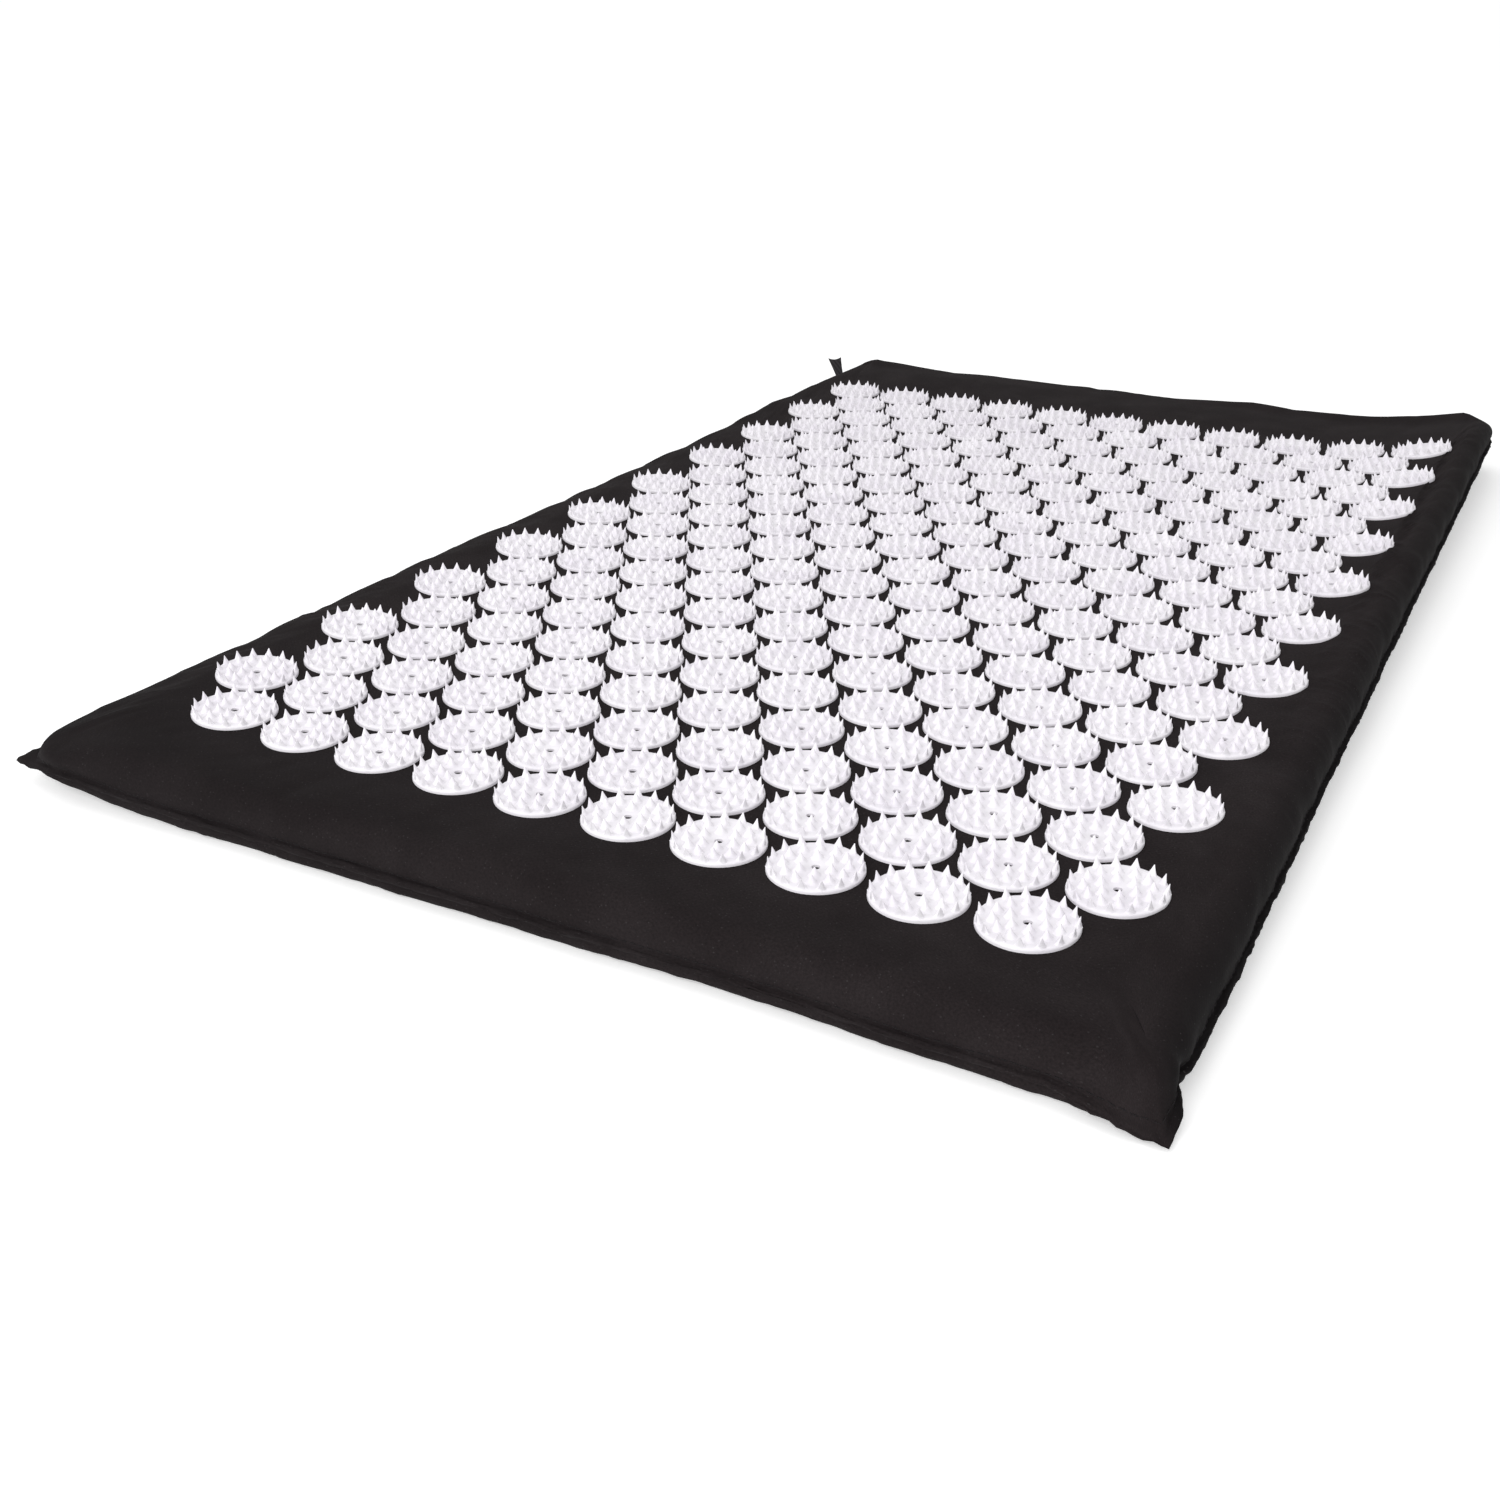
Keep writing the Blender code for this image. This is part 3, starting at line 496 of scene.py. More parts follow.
def coverGrid(stations, rings):  # rings: 0 border, 1 shoulder, 2 wall, 3 seam, 4 lower round, 5 underside
    outline, outward, base, turn = (stations[key] for key in ("outline", "outward", "base", "turn"))
    shoulder, top, tuck, lowWall = cover["shoulder"], mat["height"], cover["tuck"], cover["lowWall"]
    sideShare = np.clip(np.abs(outline[:, 0]) / cover["dropHalfX"], 0, 1) ** 8
    drop = smoothLoop(edgeDrop(outline) * sideShare, 12)
    onFar = (turn >= 4) & (turn < 5)
    zipEdge = np.minimum(outline[:, 0] - zipper["left"] + zipper["taper"],
                         zipper["right"] + zipper["taper"] - outline[:, 0]) / zipper["taper"]
    zipShare = np.where(onFar, np.clip(zipEdge, 0, 1), 0)  # 1 where the zip takes the seam's place
    creaseTop = cover["creaseTop"] + zipShare * (zipper["upperEdge"] - cover["creaseTop"])
    creaseLow = cover["creaseBottom"] + zipShare * (zipper["lowerEdge"] - cover["creaseBottom"])
    lowRound = np.minimum(cover["bottomRound"], creaseLow * 0.8)
    grid = np.zeros((len(turn), len(rings), 3))
    for k, ring in enumerate(rings):
        part = min(int(ring), 5)
        t = ring - part
        if part == 0:
            start = outline - outward * shoulder
            grid[:, k, :2] = base + (start - base) * t
            height = top - drop * dropShare(ring)
        elif part == 1:
            angle = t * math.pi / 2
            grid[:, k, :2] = outline - outward * shoulder * (1 - math.sin(angle))
            height = top - drop * dropShare(ring) - (shoulder - drop) * (1 - math.cos(angle))
        elif part == 2:
            inset = tuck * t ** 3 * (1 - zipShare)
            height = (top - shoulder) + (creaseTop - (top - shoulder)) * t
        elif part == 3:
            out = math.sin(math.pi * t) ** 0.7
            inset = (tuck - (tuck + cover["lipOut"]) * out) * (1 - zipShare)
            inset += zipShare * zipper["depth"] * min(1, 1.6 * out)
            fold = np.where(zipShare > 0, t, 0.5 - 0.5 * math.cos(math.pi * t))
            height = creaseTop + (creaseLow - creaseTop) * fold
        elif part == 4:
            angle = max(0, t - lowWall) / (1 - lowWall) * math.pi / 2
            straight = max(0, 1 - t / lowWall)
            inset = lowRound * (1 - math.cos(angle)) + tuck * (1 - zipShare) * straight
            height = lowRound * (1 - math.sin(angle)) + (creaseLow - lowRound) * straight
        else:
            inset = lowRound + (cover["bottomBorder"] - lowRound) * t
            height = 0.0
        if part > 1:
            grid[:, k, :2] = outline - outward * inset[:, None]
        grid[:, k, 2] = height + lift(grid[:, k, 0], grid[:, k, 1])
    return drawEars(stations, rings, grid)


def closeShell(grid, step, topHeight, lowHeight):  # mesh of a ring grid, its top and underside filled in
    count, deep = grid.shape[:2]
    vertices = [tuple(p) for p in grid.reshape(-1, 3)]
    faces = []
    for i in range(count):
        after = (i + 1) % count
        for k in range(deep - 1):
            faces.append((i * deep + k, i * deep + k + 1, after * deep + k + 1, after * deep + k))
    fills = []
    for ring, side, height in ((0, 1, topHeight), (deep - 1, -1, lowHeight)):
        loop = [i * deep + ring for i in range(count)]
        flat = grid[:, ring, :2]
        low, high = flat.min(0), flat.max(0)
        xs, ys = (np.arange(low[k] + step, high[k] - step * 0.6, step) for k in (0, 1))
        points = [Vector(p) for p in flat] + [Vector((x, y)) for x in xs for y in ys]
        edges = [(i, (i + 1) % count) for i in range(count)]
        found, _, triangles, _, _, _ = delaunay_2d_cdt(points, edges, [], 1, 1e-7)
        start = len(vertices)
        numbers = loop + [start + k for k in range(len(found) - count)]
        vertices += [(p.x, p.y, height + float(lift(p.x, p.y))) for p in found[count:]]
        fills += range(start, len(vertices))
        faces += [(numbers[a], numbers[b], numbers[c])[::side] for a, b, c in triangles]
    return vertices, faces, fills


def gridNormals(grid):
    across = np.roll(grid, -1, 0) - np.roll(grid, 1, 0)
    down = np.gradient(grid, axis=1)
    normal = np.cross(down, across)
    return normal / np.maximum(np.linalg.norm(normal, axis=2, keepdims=True), 1e-12)


def simulateCover():  # how far each place of the border moves when the pad fills its cover
    stations = coverStations({side: trial["step"] for side in cover["step"]})
    grid = coverGrid(stations, simRings)
    vertices, faces, fills = closeShell(grid, trial["gridStep"], mat["height"], 0.0)
    mesh = bpy.data.meshes.new("coverTrial")
    mesh.from_pydata(vertices, [], faces)
    copy = addObject("coverTrial", mesh)
    deep = len(simRings)
    size = grid.shape[0] * deep
    held = [k for k in range(size) if simRings[k % deep] in trial["heldRings"]] + list(fills)
    copy.vertex_groups.new(name="held").add(held, 1.0, "REPLACE")
    cloth = copy.modifiers.new("cloth", "CLOTH")
    for key, value in trial["cloth"].items():  # it is cut a little large and pressed out, so it buckles
        setattr(cloth.settings, key, value)
    cloth.settings.effector_weights.gravity = 0.0
    cloth.collision_settings.use_collision = False
    for number in range(1, trial["frames"] + 1):
        bpy.context.scene.frame_set(number)
    solved = copy.evaluated_get(bpy.context.evaluated_depsgraph_get()).to_mesh()
    moved = np.zeros(len(solved.vertices) * 3)
    solved.vertices.foreach_get("co", moved)
    moved = moved.reshape(-1, 3)[:size].reshape(grid.shape) - grid
    bpy.context.scene.frame_set(1)
    bpy.data.objects.remove(copy)
    normal = gridNormals(grid)
    out = (moved * normal).sum(2, keepdims=True) * trial["share"]
    print("cover simulated, moved", round(float(np.abs(out).max()) * 1000, 2), "mm at most")
    return stations["turn"], normal * np.clip(out, -trial["sink"], trial["swell"])


def carryOver(turns, moved, stations):  # the simulated move, read at the fine grid's stations and rings
    turns = np.concatenate([turns, [8.0]])
    moved = np.concatenate([moved, moved[:1]])
    wide = np.zeros((len(stations["turn"]), len(simRings), 3))
    fine = np.zeros((len(stations["turn"]), len(fineRings), 3))
    for axis in range(3):
        for k in range(len(simRings)):
            wide[:, k, axis] = np.interp(stations["turn"], turns, moved[:, k, axis])
        for i in range(len(wide)):
            fine[i, :, axis] = np.interp(fineRings, simRings, wide[i, :, axis])
    return fine


creases = {  # metres; a pair is the range that a size is drawn from
    "rightCount": 190,
    "leftCount": 70,
    "side": {"place": (-0.32, 0.33), "height": (0.00018, 0.00075), "width": (0.0009, 0.0017), "slant": 0.08,
             "bend": (0.1, 0.35), "begin": (0.002, 0.010), "end": (0.020, 0.034)},
    "front": {"count": 20, "place": (-0.19, 0.19), "reach": (0.03, 0.09), "inset": (0.004, 0.032),
              "width": (0.0025, 0.006), "height": (-0.00010, 0.00016), "tilt": 0.03},
    "lines": {"count": 9, "inset": (0.001, 0.03), "width": (0.001, 0.002), "place": (-0.15, 0.1),
              "reach": (0.05, 0.12), "rate": (20, 50), "offset": (0, 6), "height": (-0.0004, 0.0005),
              "wander": 0.002},  # along the roll
    "rollInset": 0.0065,  # middle of the roll, back from the far end
    "rollReach": 0.0075,
    "drift": {"count": 40, "rate": (60, 260), "height": 0.00005},  # slow unevenness of foam and cloth
    "ruffle": 0.00022,  # unevenness of the sewn edge
}


def bellAt(distance, width):  # smooth hump, 1 at no distance
    return np.exp(-(distance / width) ** 2)


def drawn(kind, *keys):  # one random draw from each range, in this order
    return [rng.uniform(*creases[kind][key]) for key in keys]


def creaseRelief(stations, grid):  # creases and soft waves over the border, as a height along the normal
    turn, ring = stations["turn"][:, None], np.array(fineRings)[None, :]
    x, y, down = grid[:, :, 0], grid[:, :, 1], runDown(grid)
    onCloth = window(ring, 0.0, 3.0, 0.25)
    relief = np.zeros(x.shape)
    for side, firstTurn in (("right", 2), ("left", 6)):
        onSide = window(turn, firstTurn, firstTurn + 1, 0.03) * onCloth
        for _ in range(creases[side + "Count"]):
            place, height, width = drawn("side", "place", "height", "width")
            height *= 0.25 + 0.75 * np.clip((place + 0.2) / 0.3, 0, 1) if side == "right" else 0.45
            slant = rng.normal(0, creases["side"]["slant"])
            bend, begin, end = drawn("side", "bend", "begin", "end")
            middle = place - slant * down - bend * down ** 2 / 0.03
            fade = np.clip((down - begin) / 0.004, 0, 1) * np.clip((end - down) / 0.008, 0, 1)
            relief += onSide * height * fade * bellAt(y - middle, width)
    onNear = window(turn, 0, 1, 0.02) * onCloth
    for _ in range(creases["front"]["count"]):
        place, reach, inset, width, height = drawn("front", "place", "reach", "inset", "width", "height")
        tilt = rng.normal(0, creases["front"]["tilt"])
        relief += onNear * height * bellAt(x - place, reach) * bellAt(down - inset - tilt * (x - place), width)
    onFar = window(turn, 4, 5, 0.02) * onCloth
    fromEdge = mat["halfY"] - y
    onRoll = window(turn, 3.1, 5.9, 0.9) * onCloth  # it fades in the corners
    relief += onRoll * edgeTable("farRoll", x) * bellAt(fromEdge - creases["rollInset"], creases["rollReach"])
    for _ in range(creases["lines"]["count"]):
        inset, width, place, reach = drawn("lines", "inset", "width", "place", "reach")
        rate, offset, height = drawn("lines", "rate", "offset", "height")
        wander = creases["lines"]["wander"] * np.sin(x * rate + offset)
        relief += onFar * height * bellAt(x - place, reach) * bellAt(fromEdge - inset - wander, width)
    waves, drift = np.zeros(x.shape), creases["drift"]
    for _ in range(drift["count"]):
        wave = rng.normal(0, 1, 3)
        wave *= rng.uniform(*drift["rate"]) / np.linalg.norm(wave)
        waves += np.sin(grid @ wave + rng.uniform(0, 6.28))
    relief += drift["height"] * waves * window(ring, 0.0, 6.0, 0.4)
    for passes in (1, 3):
        ruffle = smoothLoop(rng.normal(0, 1, (len(stations["turn"]), len(fineRings))), passes)
        relief += creases["ruffle"] * ruffle * window(ring, 2.5, 4.9, 0.3)
    return relief


def threadPlaces(stations, grid, vertices):  # where each point lies on the flat cloth, in millimetres
    flat = stations["base"][:, None, :] + stations["outward"][:, None, :] * runDown(grid)[:, :, None]
    places = vertices * 1000
    places[:, 2] = 0
    places[:flat.size // 2, :2] = flat.reshape(-1, 2) * 1000
    return places.astype(np.float32)


def unshadedShares(stations, vertices):  # 1 where no shade is painted, 0 on the side walls, which get painted shade
    unshaded = np.ones(len(vertices), np.float32)
    # painted shade on the side walls, from the shoulder down
    side = np.minimum(window(stations["turn"], 1.5, 4.0, 0.3) + window(stations["turn"], 5.0, 7.5, 0.3), 1)
    wall = np.clip((np.array(fineRings) - 0.9) / 0.9, 0, 1)
    unshaded[:len(side) * len(wall)] = (1 - side[:, None] * wall[None, :]).ravel()
    # painted shade along the front edge, darkest at its left end
    start, full = cotton["frontY"]
    front = np.clip(0.5 - vertices[:, 0] / 0.4, 0, 1) * np.clip((start - vertices[:, 1]) / (start - full), 0, 1)
    unshaded *= 1 - cotton["frontShade"] * front
    return unshaded


def buildCover():
    stations = coverStations(cover["step"])
    grid = coverGrid(stations, fineRings)
    grid = grid + carryOver(*simulateCover(), stations)
    normal = gridNormals(grid)
    grid = grid + normal * creaseRelief(stations, grid)[:, :, None]
    grid[:, :, 2] = np.maximum(grid[:, :, 2], 0.0)
    vertices, faces, _ = closeShell(grid, cover["gridStep"], mat["height"], 0.0)
    piece = meshPiece("cover", vertices, faces, blackCotton, "mat")
    vertices, attributes = np.array(vertices), piece.data.attributes
    places = attributes.new("threadPlace", "FLOAT_VECTOR", "POINT")
    places.data.foreach_set("vector", threadPlaces(stations, grid, vertices).ravel())
    # share of the cloth that is free of painted shade
    unshaded = attributes.new("unshaded", "FLOAT", "POINT")
    unshaded.data.foreach_set("value", unshadedShares(stations, vertices))
    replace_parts(piece, "cover_top_panel", "cover_far_strip", "cover_bottom_panel")
    return grid, normal


coverPoints, coverNormals = buildCover()
print("cover built")

foam = {
    "step": 0.008,
    "gridStep": 0.012,
    "inset": 0.0045,
    "farInset": 0.0075,  # clear of the zip
    "top": 0.0184,
    "floor": 0.0014,
    "edge": 0.0110,  # radius of its upper edge
    "lowEdge": 0.0030,
    "clear": 0.0015,  # it sinks this much more than the cloth over it
    "sinkFrom": 0.006,
    "sinkSpan": 0.012,
}


def buildFoam():  # one cut block with eased edges, clear of the cloth
    loop = coverStations({side: foam["step"] for side in cover["step"]})
    onFar = ((loop["turn"] >= 4) & (loop["turn"] < 5))[:, None]
    inset = smoothLoop(np.where(onFar, foam["farInset"], foam["inset"]), 4)
    sink = edgeDrop(loop["outline"]) + foam["clear"]
    high, low, right = foam["edge"], foam["lowEdge"], math.pi / 2
    rings = [(high * (1 - math.sin(a)), foam["top"] - high * (1 - math.cos(a))) for a in np.linspace(0, right, 5)]
    rings += [(low * (1 - math.cos(a)), foam["floor"] + low * (1 - math.sin(a))) for a in np.linspace(0, right, 4)]
    grid = np.zeros((len(inset), len(rings), 3))
    for k, (more, z) in enumerate(rings):
        grid[:, k, :2] = loop["outline"] - loop["outward"] * (inset + more)
        sunk = z - sink * np.clip((z - foam["sinkFrom"]) / foam["sinkSpan"], 0, 1)
        grid[:, k, 2] = sunk + lift(grid[:, k, 0], grid[:, k, 1])
    vertices, faces, _ = closeShell(grid, foam["gridStep"], foam["top"], foam["floor"])
    piece = meshPiece("foamPad", vertices, faces, greyFoam, "mat")
    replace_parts(piece, "foam_pad")


buildFoam()
print("foam built")

disc = {
    "radius": 0.0150,
    "pitch": 0.0330,
    "rowPitch": 0.0285788,
    "rows": 20,
    "rowCount": 10,  # and one more in every second row
    "fieldY": -0.0187,  # middle of the field
    "segments": 60,
    "profile": [(15.0, -0.9), (15.0, 0.1), (14.98, 0.5), (14.9, 0.85), (14.72, 1.1), (14.45, 1.25),
                (14.0, 1.32), (13.2, 1.32), (12.4, 1.25), (11.6, 1.15), (9.0, 1.1), (4.0, 1.05), (1.55, 1.0),
                (1.33, 0.9), (1.3, 0.1)],  # mm, radius then height, from the rim to the hole
    "rings": [  # spikes, mm: radius of foot and tip, their heights, half width, share of it outwards, turn
        {"count": 15, "foot": 13.5, "tip": 14.35, "low": 0.9, "high": 4.35, "half": 1.58, "deep": 0.64,
         "turned": 0.46},
        {"count": 12, "foot": 9.8, "tip": 10.0, "low": 0.9, "high": 4.1, "half": 1.75, "deep": 1.0,
         "turned": 0.5},
        {"count": 6, "foot": 5.4, "tip": 5.5, "low": 0.9, "high": 4.0, "half": 1.75, "deep": 1.0, "turned": 0.8},
    ],
    "spikeShape": [(0.0, 1.55), (0.05, 1.28), (0.14, 1.02), (0.3, 0.78), (0.6, 0.46), (0.85, 0.22),
                   (0.96, 0.13), (1.0, 0.05)],  # share of the height, then of the half width
    "spikeSides": 8,
    "turnSpread": 8.0,  # degrees; how unevenly the discs are turned, tilted and placed by hand
    "rockSpread": 0.006,
    "slipSpread": 0.00012,
    "bow": 0.0013,  # the rows near the middle are glued a little further right
    "bowLevel": 0.8,
    "bowReach": 0.27,
    "sharpAt": 38,
}


def discShape():
    vertices = []
    for radius, z in disc["profile"]:
        vertices += [(radius * math.cos(a), radius * math.sin(a), z) for a in ringAngles(disc["segments"])]
    faces = tubeFaces(0, len(disc["profile"]), disc["segments"])
    sides = disc["spikeSides"]
    for ring in disc["rings"]:
        for number in range(ring["count"]):
            bearing = 2 * math.pi * (number + ring["turned"]) / ring["count"]
            out, side = (math.cos(bearing), math.sin(bearing)), (-math.sin(bearing), math.cos(bearing))
            start = len(vertices)
            for share, width in disc["spikeShape"]:
                reach = ring["foot"] + (ring["tip"] - ring["foot"]) * share
                z = ring["low"] + (ring["high"] - ring["low"]) * share
                for a in ringAngles(sides):
                    dOut = reach + ring["half"] * ring["deep"] * width * math.cos(a)
                    dSide = ring["half"] * width * math.sin(a)
                    vertices.append((out[0] * dOut + side[0] * dSide, out[1] * dOut + side[1] * dSide, z))
            faces += tubeFaces(start, len(disc["spikeShape"]), sides)
            faces.append(tuple(range(len(vertices) - sides, len(vertices))))
    return np.array(vertices) / 1000, faces


def discPlace(x, y):  # a rigid disc on the cloth, tilted with the curl
    r = disc["radius"]
    left, right, middle = float(lift(x - r, y)), float(lift(x + r, y)), float(lift(x, y))
    height = mat["height"] + (left + right + 2 * middle) / 4
    near, far = float(lift(x, y - r)), float(lift(x, y + r))
    tilt = (Matrix.Rotation(-math.atan2(right - left, 2 * r), 4, "Y")
            @ Matrix.Rotation(math.atan2(far - near, 2 * r), 4, "X"))
    turn = Matrix.Rotation(math.radians(rng.normal(0, disc["turnSpread"])), 4, "Z")
    rock = Euler((rng.normal(0, disc["rockSpread"]), rng.normal(0, disc["rockSpread"]), 0)).to_matrix().to_4x4()
    slip = Vector((rng.normal(0, disc["slipSpread"]), rng.normal(0, disc["slipSpread"]), 0.0))
    return Matrix.Translation(Vector((x, y, height)) + slip) @ tilt @ rock @ turn


def buildDiscs():
    shape, faces = discShape()
    for row in range(disc["rows"]):
        count = disc["rowCount"] + row % 2
        y = disc["fieldY"] + (row - (disc["rows"] - 1) / 2) * disc["rowPitch"]
        bow = disc["bow"] * (disc["bowLevel"] - ((y - disc["fieldY"]) / disc["bowReach"]) ** 2)
        vertices, allFaces = [], []
        for k in range(count):
            place = np.array(discPlace((k - (count - 1) / 2) * disc["pitch"] + bow, y))
            start = k * len(shape)
            vertices.append(shape @ place[:3, :3].T + place[:3, 3])
            allFaces += [tuple(start + v for v in face) for face in faces]
        piece = meshPiece(f"discRow{row + 1:02d}", np.concatenate(vertices), allFaces, whiteAbs, "mat",
                          sharpAt=disc["sharpAt"])
        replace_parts(piece, f"disc_row_{row + 1:02d}")


buildDiscs()
print("disc rows built")


def buildCoil(name, side, node):  # one half of the zip: a nylon filament coiled round its cord
    left, right, pitch = zipper["left"], zipper["right"], zipper["toothPitch"]
    count = round((right - left) / (pitch / 6))
    front, back, wide, sides = (zipper["bead" + key] for key in ("Front", "Back", "Width", "Sides"))
    middleZ = zipper["height"] + side * (zipper["slot"] + wide) / 2
    vertices = []
    for i in range(count + 1):
        x = left + (right - left) * i / count
        swell = 1 - zipper["groove"] + zipper["groove"] * abs(math.sin(math.pi * (x - left) / pitch)) ** 0.6
        for a in ringAngles(sides):
            y = (front + back) / 2 + (front - back) / 2 * swell * math.sin(a)
            z = middleZ + wide / 2 * swell * math.cos(a)
            vertices.append((x + zipper["beadSlant"] * math.cos(a), y, z))
    faces = tubeFaces(0, count + 1, sides)
    faces += [tuple(range(sides)), tuple(count * sides + j for j in reversed(range(sides)))]
    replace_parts(meshPiece(name, vertices, faces, blackNylon, "mat"), node)


def ribbon(rows, thickness):  # closed strip from rows of (point, normal)
    vertices, faces = [], []
    count, wide = len(rows), len(rows[0])
    for layer in (0.5, -0.5):
        for row in rows:
            vertices += [Vector(p) + Vector(n) * thickness * layer for p, n in row]
    size = count * wide
    for i in range(count - 1):
        for j in range(wide - 1):
            a, b = i * wide + j, (i + 1) * wide + j
            faces += [(a, a + 1, b + 1, b), (size + a, size + b, size + b + 1, size + a + 1)]
    rim = [i * wide for i in range(count)] + [(count - 1) * wide + j for j in range(1, wide)]
    rim += [i * wide + wide - 1 for i in reversed(range(count - 1))] + list(reversed(range(1, wide - 1)))
    faces += [(a, b, size + b, size + a) for a, b in zip(rim, rim[1:] + rim[:1])]
    return vertices, faces


def buildTape(name, side, width, node):  # woven tape, its ribs along the length
    rows = []
    inner = zipper["height"] + side * zipper["slot"] / 2
    middle = zipper["tapeFront"] - zipper["tapeThickness"] / 2
    for x in np.linspace(zipper["left"], zipper["right"], 120):
        row = []
        for share in np.linspace(0, 1, 9):
            y = middle + zipper["tapeRib"] * math.sin(share * 8 * math.pi)
            row.append(((x, y, inner + side * width * share), (0, 1, 0)))
        rows.append(row)
    vertices, faces = ribbon(rows, zipper["tapeThickness"])
    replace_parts(meshPiece(name, vertices, faces, tapeWeave, "mat"), node)


buildCoil("zipCoilUpper", 1, "zip_teeth_upper")
buildCoil("zipCoilLower", -1, "zip_teeth_lower")
buildTape("zipTapeUpper", 1, zipper["upperTape"], "zip_tape_upper")
buildTape("zipTapeLower", -1, zipper["lowerTape"], "zip_tape_lower")

tail = {
    "fromFarEnd": 0.025,
    "sunk": 0.0004,  # how far its foot lies inside the lip
    "length": 0.0150,
    "rise": 0.0160,
    "bearing": 142,
    "width": 0.0056,
    "flare": 0.0034,
    "thickness": 0.0006,
    "ribs": 6,
    "ribHeight": 0.00009,
    "cup": 0.0006,  # its long edges bend up
    "dip": 0.0007,  # and the middle of its cut end sags
}


def buildTail():  # loose end of the zip tape, flared and cut square
    bearing = math.radians(tail["bearing"])
    outward = Vector((math.cos(bearing), math.sin(bearing), 0))
    square = Vector((-outward.y, outward.x, 0))
    up = Vector((0, 0, 1)) * 0.7 - outward * 0.7  # it leans outwards at 45 degrees
    y = mat["halfY"] - tail["fromFarEnd"]
    x = -float(edgeTable("leftEdge", y)) - cover["lipOut"] + tail["sunk"]
    start = Vector((x, y, zipper["height"] + float(lift(x, y))))
    rows = []
    for share in np.linspace(0, 1, 24):
        half = Vector((0, -1, 0)).lerp(square, share).normalized()
        half = half * (tail["width"] + tail["flare"] * share ** 2) / 2
        middle = start + outward * tail["length"] * share + Vector((0, 0, tail["rise"] * share ** 1.15))
        row = []
        for across in np.linspace(-1, 1, 19):
            ribs = tail["ribHeight"] * math.cos(across * tail["ribs"] * math.pi)
            cupped = tail["cup"] * across ** 2 * share + ribs
            dip = -tail["dip"] * (1 - across ** 2) * share ** 6
            point = middle + half * across + up * cupped + outward * dip + Vector((0, 0, dip))
            row.append((point, up.normalized()))
        rows.append(row)
    vertices, faces = ribbon(rows, tail["thickness"])
    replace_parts(meshPiece("zipTapeTail", vertices, faces, tapeWeave, "mat"), "zip_tape_tail")


buildTail()

for name in ("zip_slider", "zip_pull", "zip_bottom_stop", "zip_top_stop_upper", "zip_top_stop_lower"):
    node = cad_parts[name]  # the zip's metal parts stay as they are in CAD, with eased edges
    for holder in node.material_slots:
        holder.material = blackEnamel
    ease = node.modifiers.new("easedEdges", "BEVEL")
    ease.width, ease.segments = zipper["easeWidth"], 2
    ease.limit_method, ease.angle_limit = "ANGLE", math.radians(zipper["easeAngle"])
print("zip built")

stitch = {
    "pitch": 0.0030,
    "length": 0.0025,
    "radius": 0.00016,
    "sides": 6,
    "ring": 2.7,
    "start": 0.002,
    "shape": [(0, -0.2, 0.6), (0.25, 0.5, 0.9), (0.5, 0.7, 1), (0.75, 0.5, 0.9), (1, -0.2, 0.6)],
}  # shape: share of the length, height and width in radii


def buildStitches():  # lockstitch beside the seam: short raised threads with gaps
    ring, radius, sides = fineRings.index(stitch["ring"]), stitch["radius"], stitch["sides"]
    line = coverPoints[:, ring]
    along = np.concatenate([[0], np.cumsum(np.linalg.norm(np.diff(line, axis=0), axis=1))])
    vertices, faces = [], []
    for place in np.arange(stitch["start"], along[-1], stitch["pitch"]):
        ends = [place + stitch["length"] * share for share, _, _ in stitch["shape"]]
        points = [np.array([np.interp(end, along, line[:, axis]) for axis in range(3)]) for end in ends]
        if zipper["left"] < points[2][0] < zipper["right"] and points[2][1] > 0:  # none over the zip
            continue
        out = coverNormals[int(np.searchsorted(along, place) % len(along)), ring]
        way = points[-1] - points[0]
        way /= max(np.linalg.norm(way), 1e-9)
        up = np.cross(out, way)
        start = len(vertices)
        for point, (_, height, width) in zip(points, stitch["shape"]):
            centre = point + out * radius * height
            for a in ringAngles(sides):
                vertices.append(centre + radius * width * (out * math.cos(a) + up * math.sin(a)))
        faces += tubeFaces(start, len(points), sides)
        end = len(vertices) - sides
        faces += [tuple(start + j for j in reversed(range(sides))), tuple(end + j for j in range(sides))]
    meshPiece("seamStitches", vertices, faces, blackThread, "mat")


buildStitches()
print("stitches built")

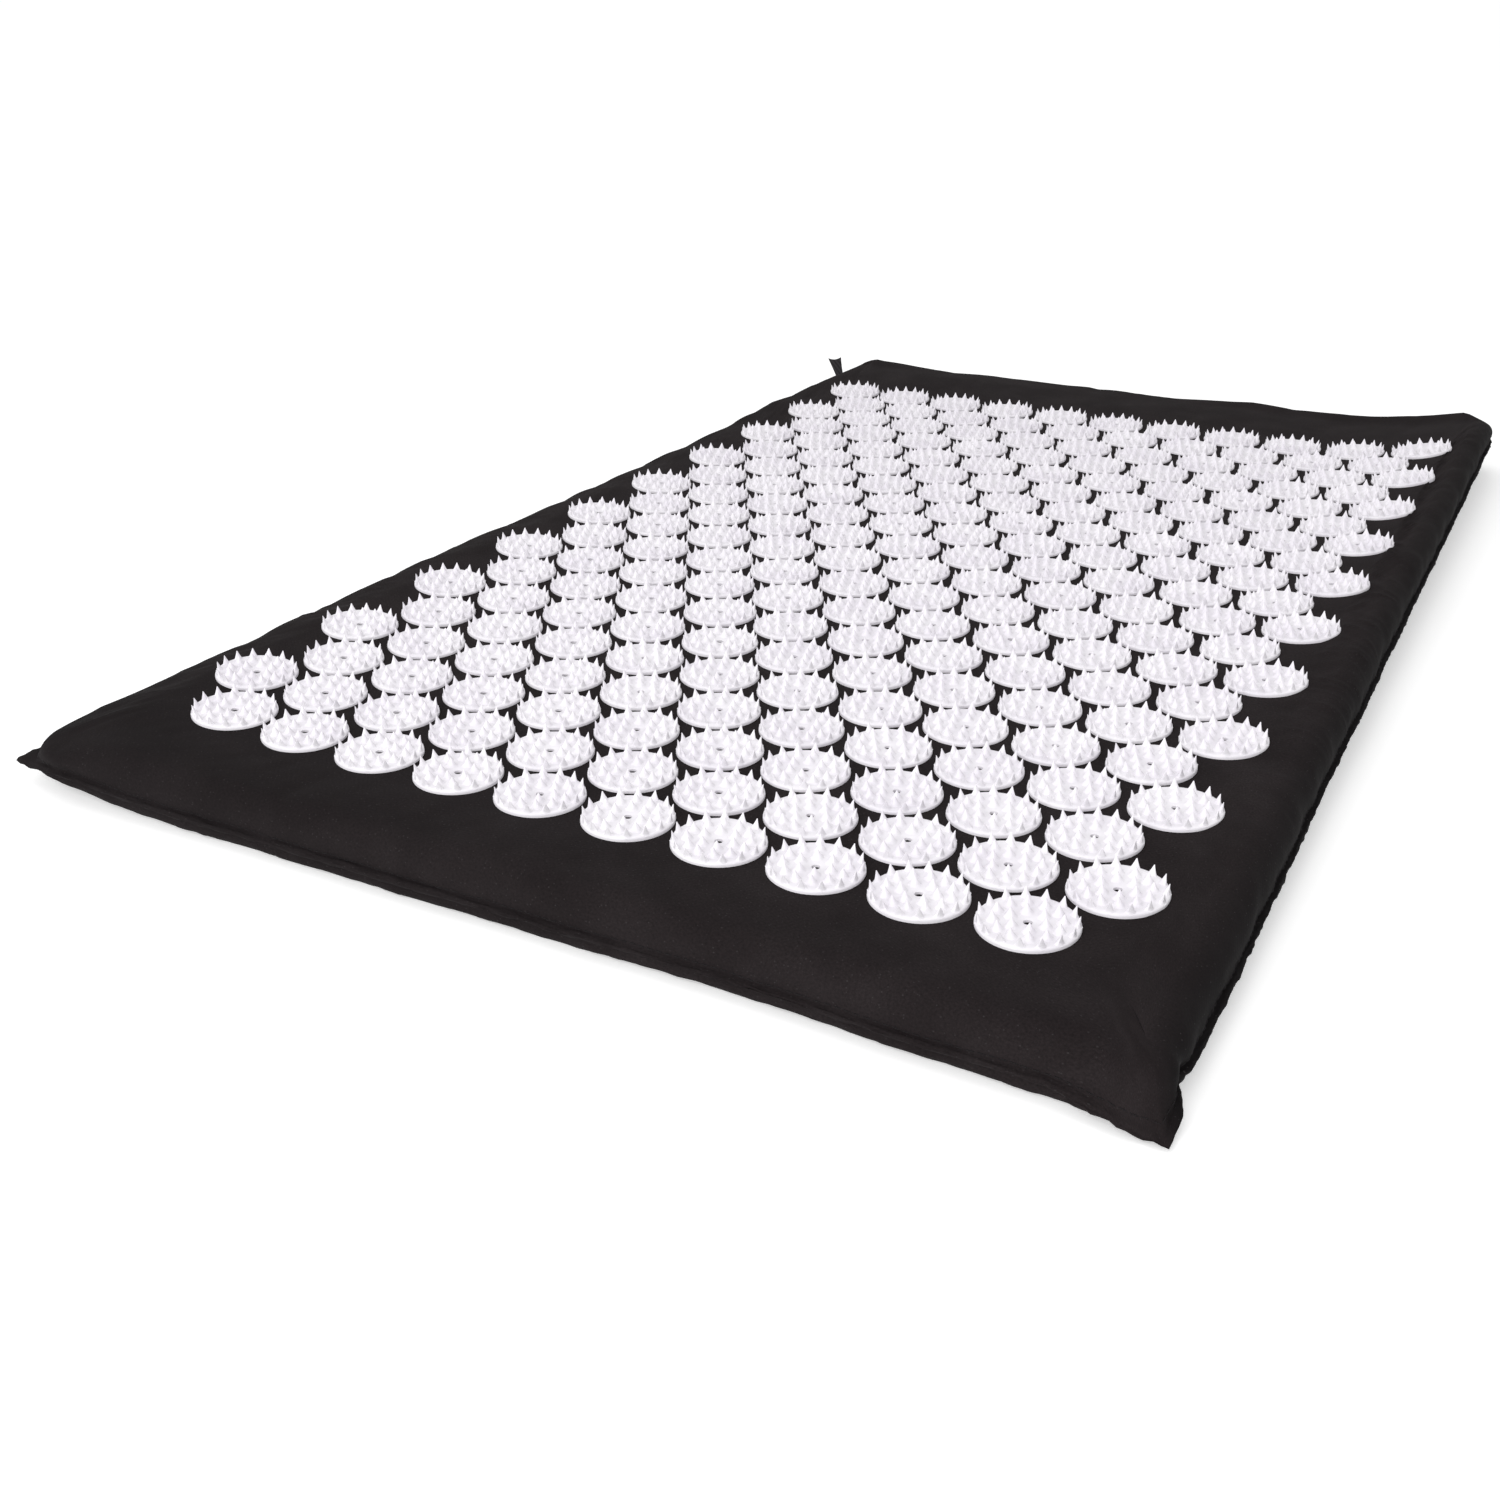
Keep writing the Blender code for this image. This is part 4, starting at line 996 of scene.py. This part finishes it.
view = {
    "camera": (0.2763, -0.6832, 0.2663),
    "yaw": 0.5031,  # radians, to the left
    "pitch": 0.4419,  # radians, down
    "lens": 40.65,
    "world": 0.59,
    "floorGlow": 0.36,  # the floor is a backlit white table, so shadows on it stay faint
    "floorDrop": 0.0003,  # just below the cloth, so the two don't flicker
    "key": {"bearing": 0, "elevation": 27, "distance": 1.9, "size": 1.7, "power": 19},
    "fill": {"bearing": -120, "elevation": 62, "width": 70, "strength": 0.45},
}


def buildStudio():
    camera = addObject("camera", bpy.data.cameras.new("camera"))
    camera.data.lens, camera.data.sensor_width = view["lens"], 36.0
    camera.data.clip_start, camera.data.clip_end = 0.01, 200
    camera.location = view["camera"]
    camera.rotation_euler = (math.pi / 2 - view["pitch"], 0, view["yaw"])
    bpy.context.scene.camera = camera
    floorShape = bmesh.new()
    bmesh.ops.create_circle(floorShape, cap_ends=True, segments=64, radius=60)
    bmesh.ops.translate(floorShape, verts=floorShape.verts, vec=(0, 0, -view["floorDrop"]))
    floorMesh = bpy.data.meshes.new("floor")
    floorShape.to_mesh(floorMesh)
    floorShape.free()
    glow = {"Emission Color": hexColour("#ffffff"), "Emission Strength": view["floorGlow"]}
    floorMesh.materials.append(startMaterial("paleBacklitAcrylic", "#f6f6f6", 0.9, 1.49, glow)[0])
    addObject("floor", floorMesh)
    world = bpy.data.worlds.new("studio")
    world.use_nodes = True
    sky = world.node_tree.nodes["Background"]
    sky.inputs["Color"].default_value = (1.0, 1.0, 1.0, 1.0)
    sky.inputs["Strength"].default_value = view["world"]
    bpy.context.scene.world = world
    for name, kind in (("key", "AREA"), ("fill", "SUN")):
        lamp, plan = bpy.data.lights.new(name + "Light", kind), view[name]
        holder = addObject(name + "Light", lamp)
        turn = Euler((math.radians(90 - plan["elevation"]), 0, math.radians(plan["bearing"])))
        holder.rotation_euler = turn
        if kind == "AREA":
            lamp.shape, lamp.size, lamp.energy = "DISK", plan["size"], plan["power"]
            holder.location = turn.to_matrix() @ Vector((0, 0, plan["distance"]))
        else:
            lamp.angle, lamp.energy = math.radians(plan["width"]), plan["strength"]
    bpy.context.scene.view_settings.view_transform = "Standard"


buildStudio()
print("studio built")
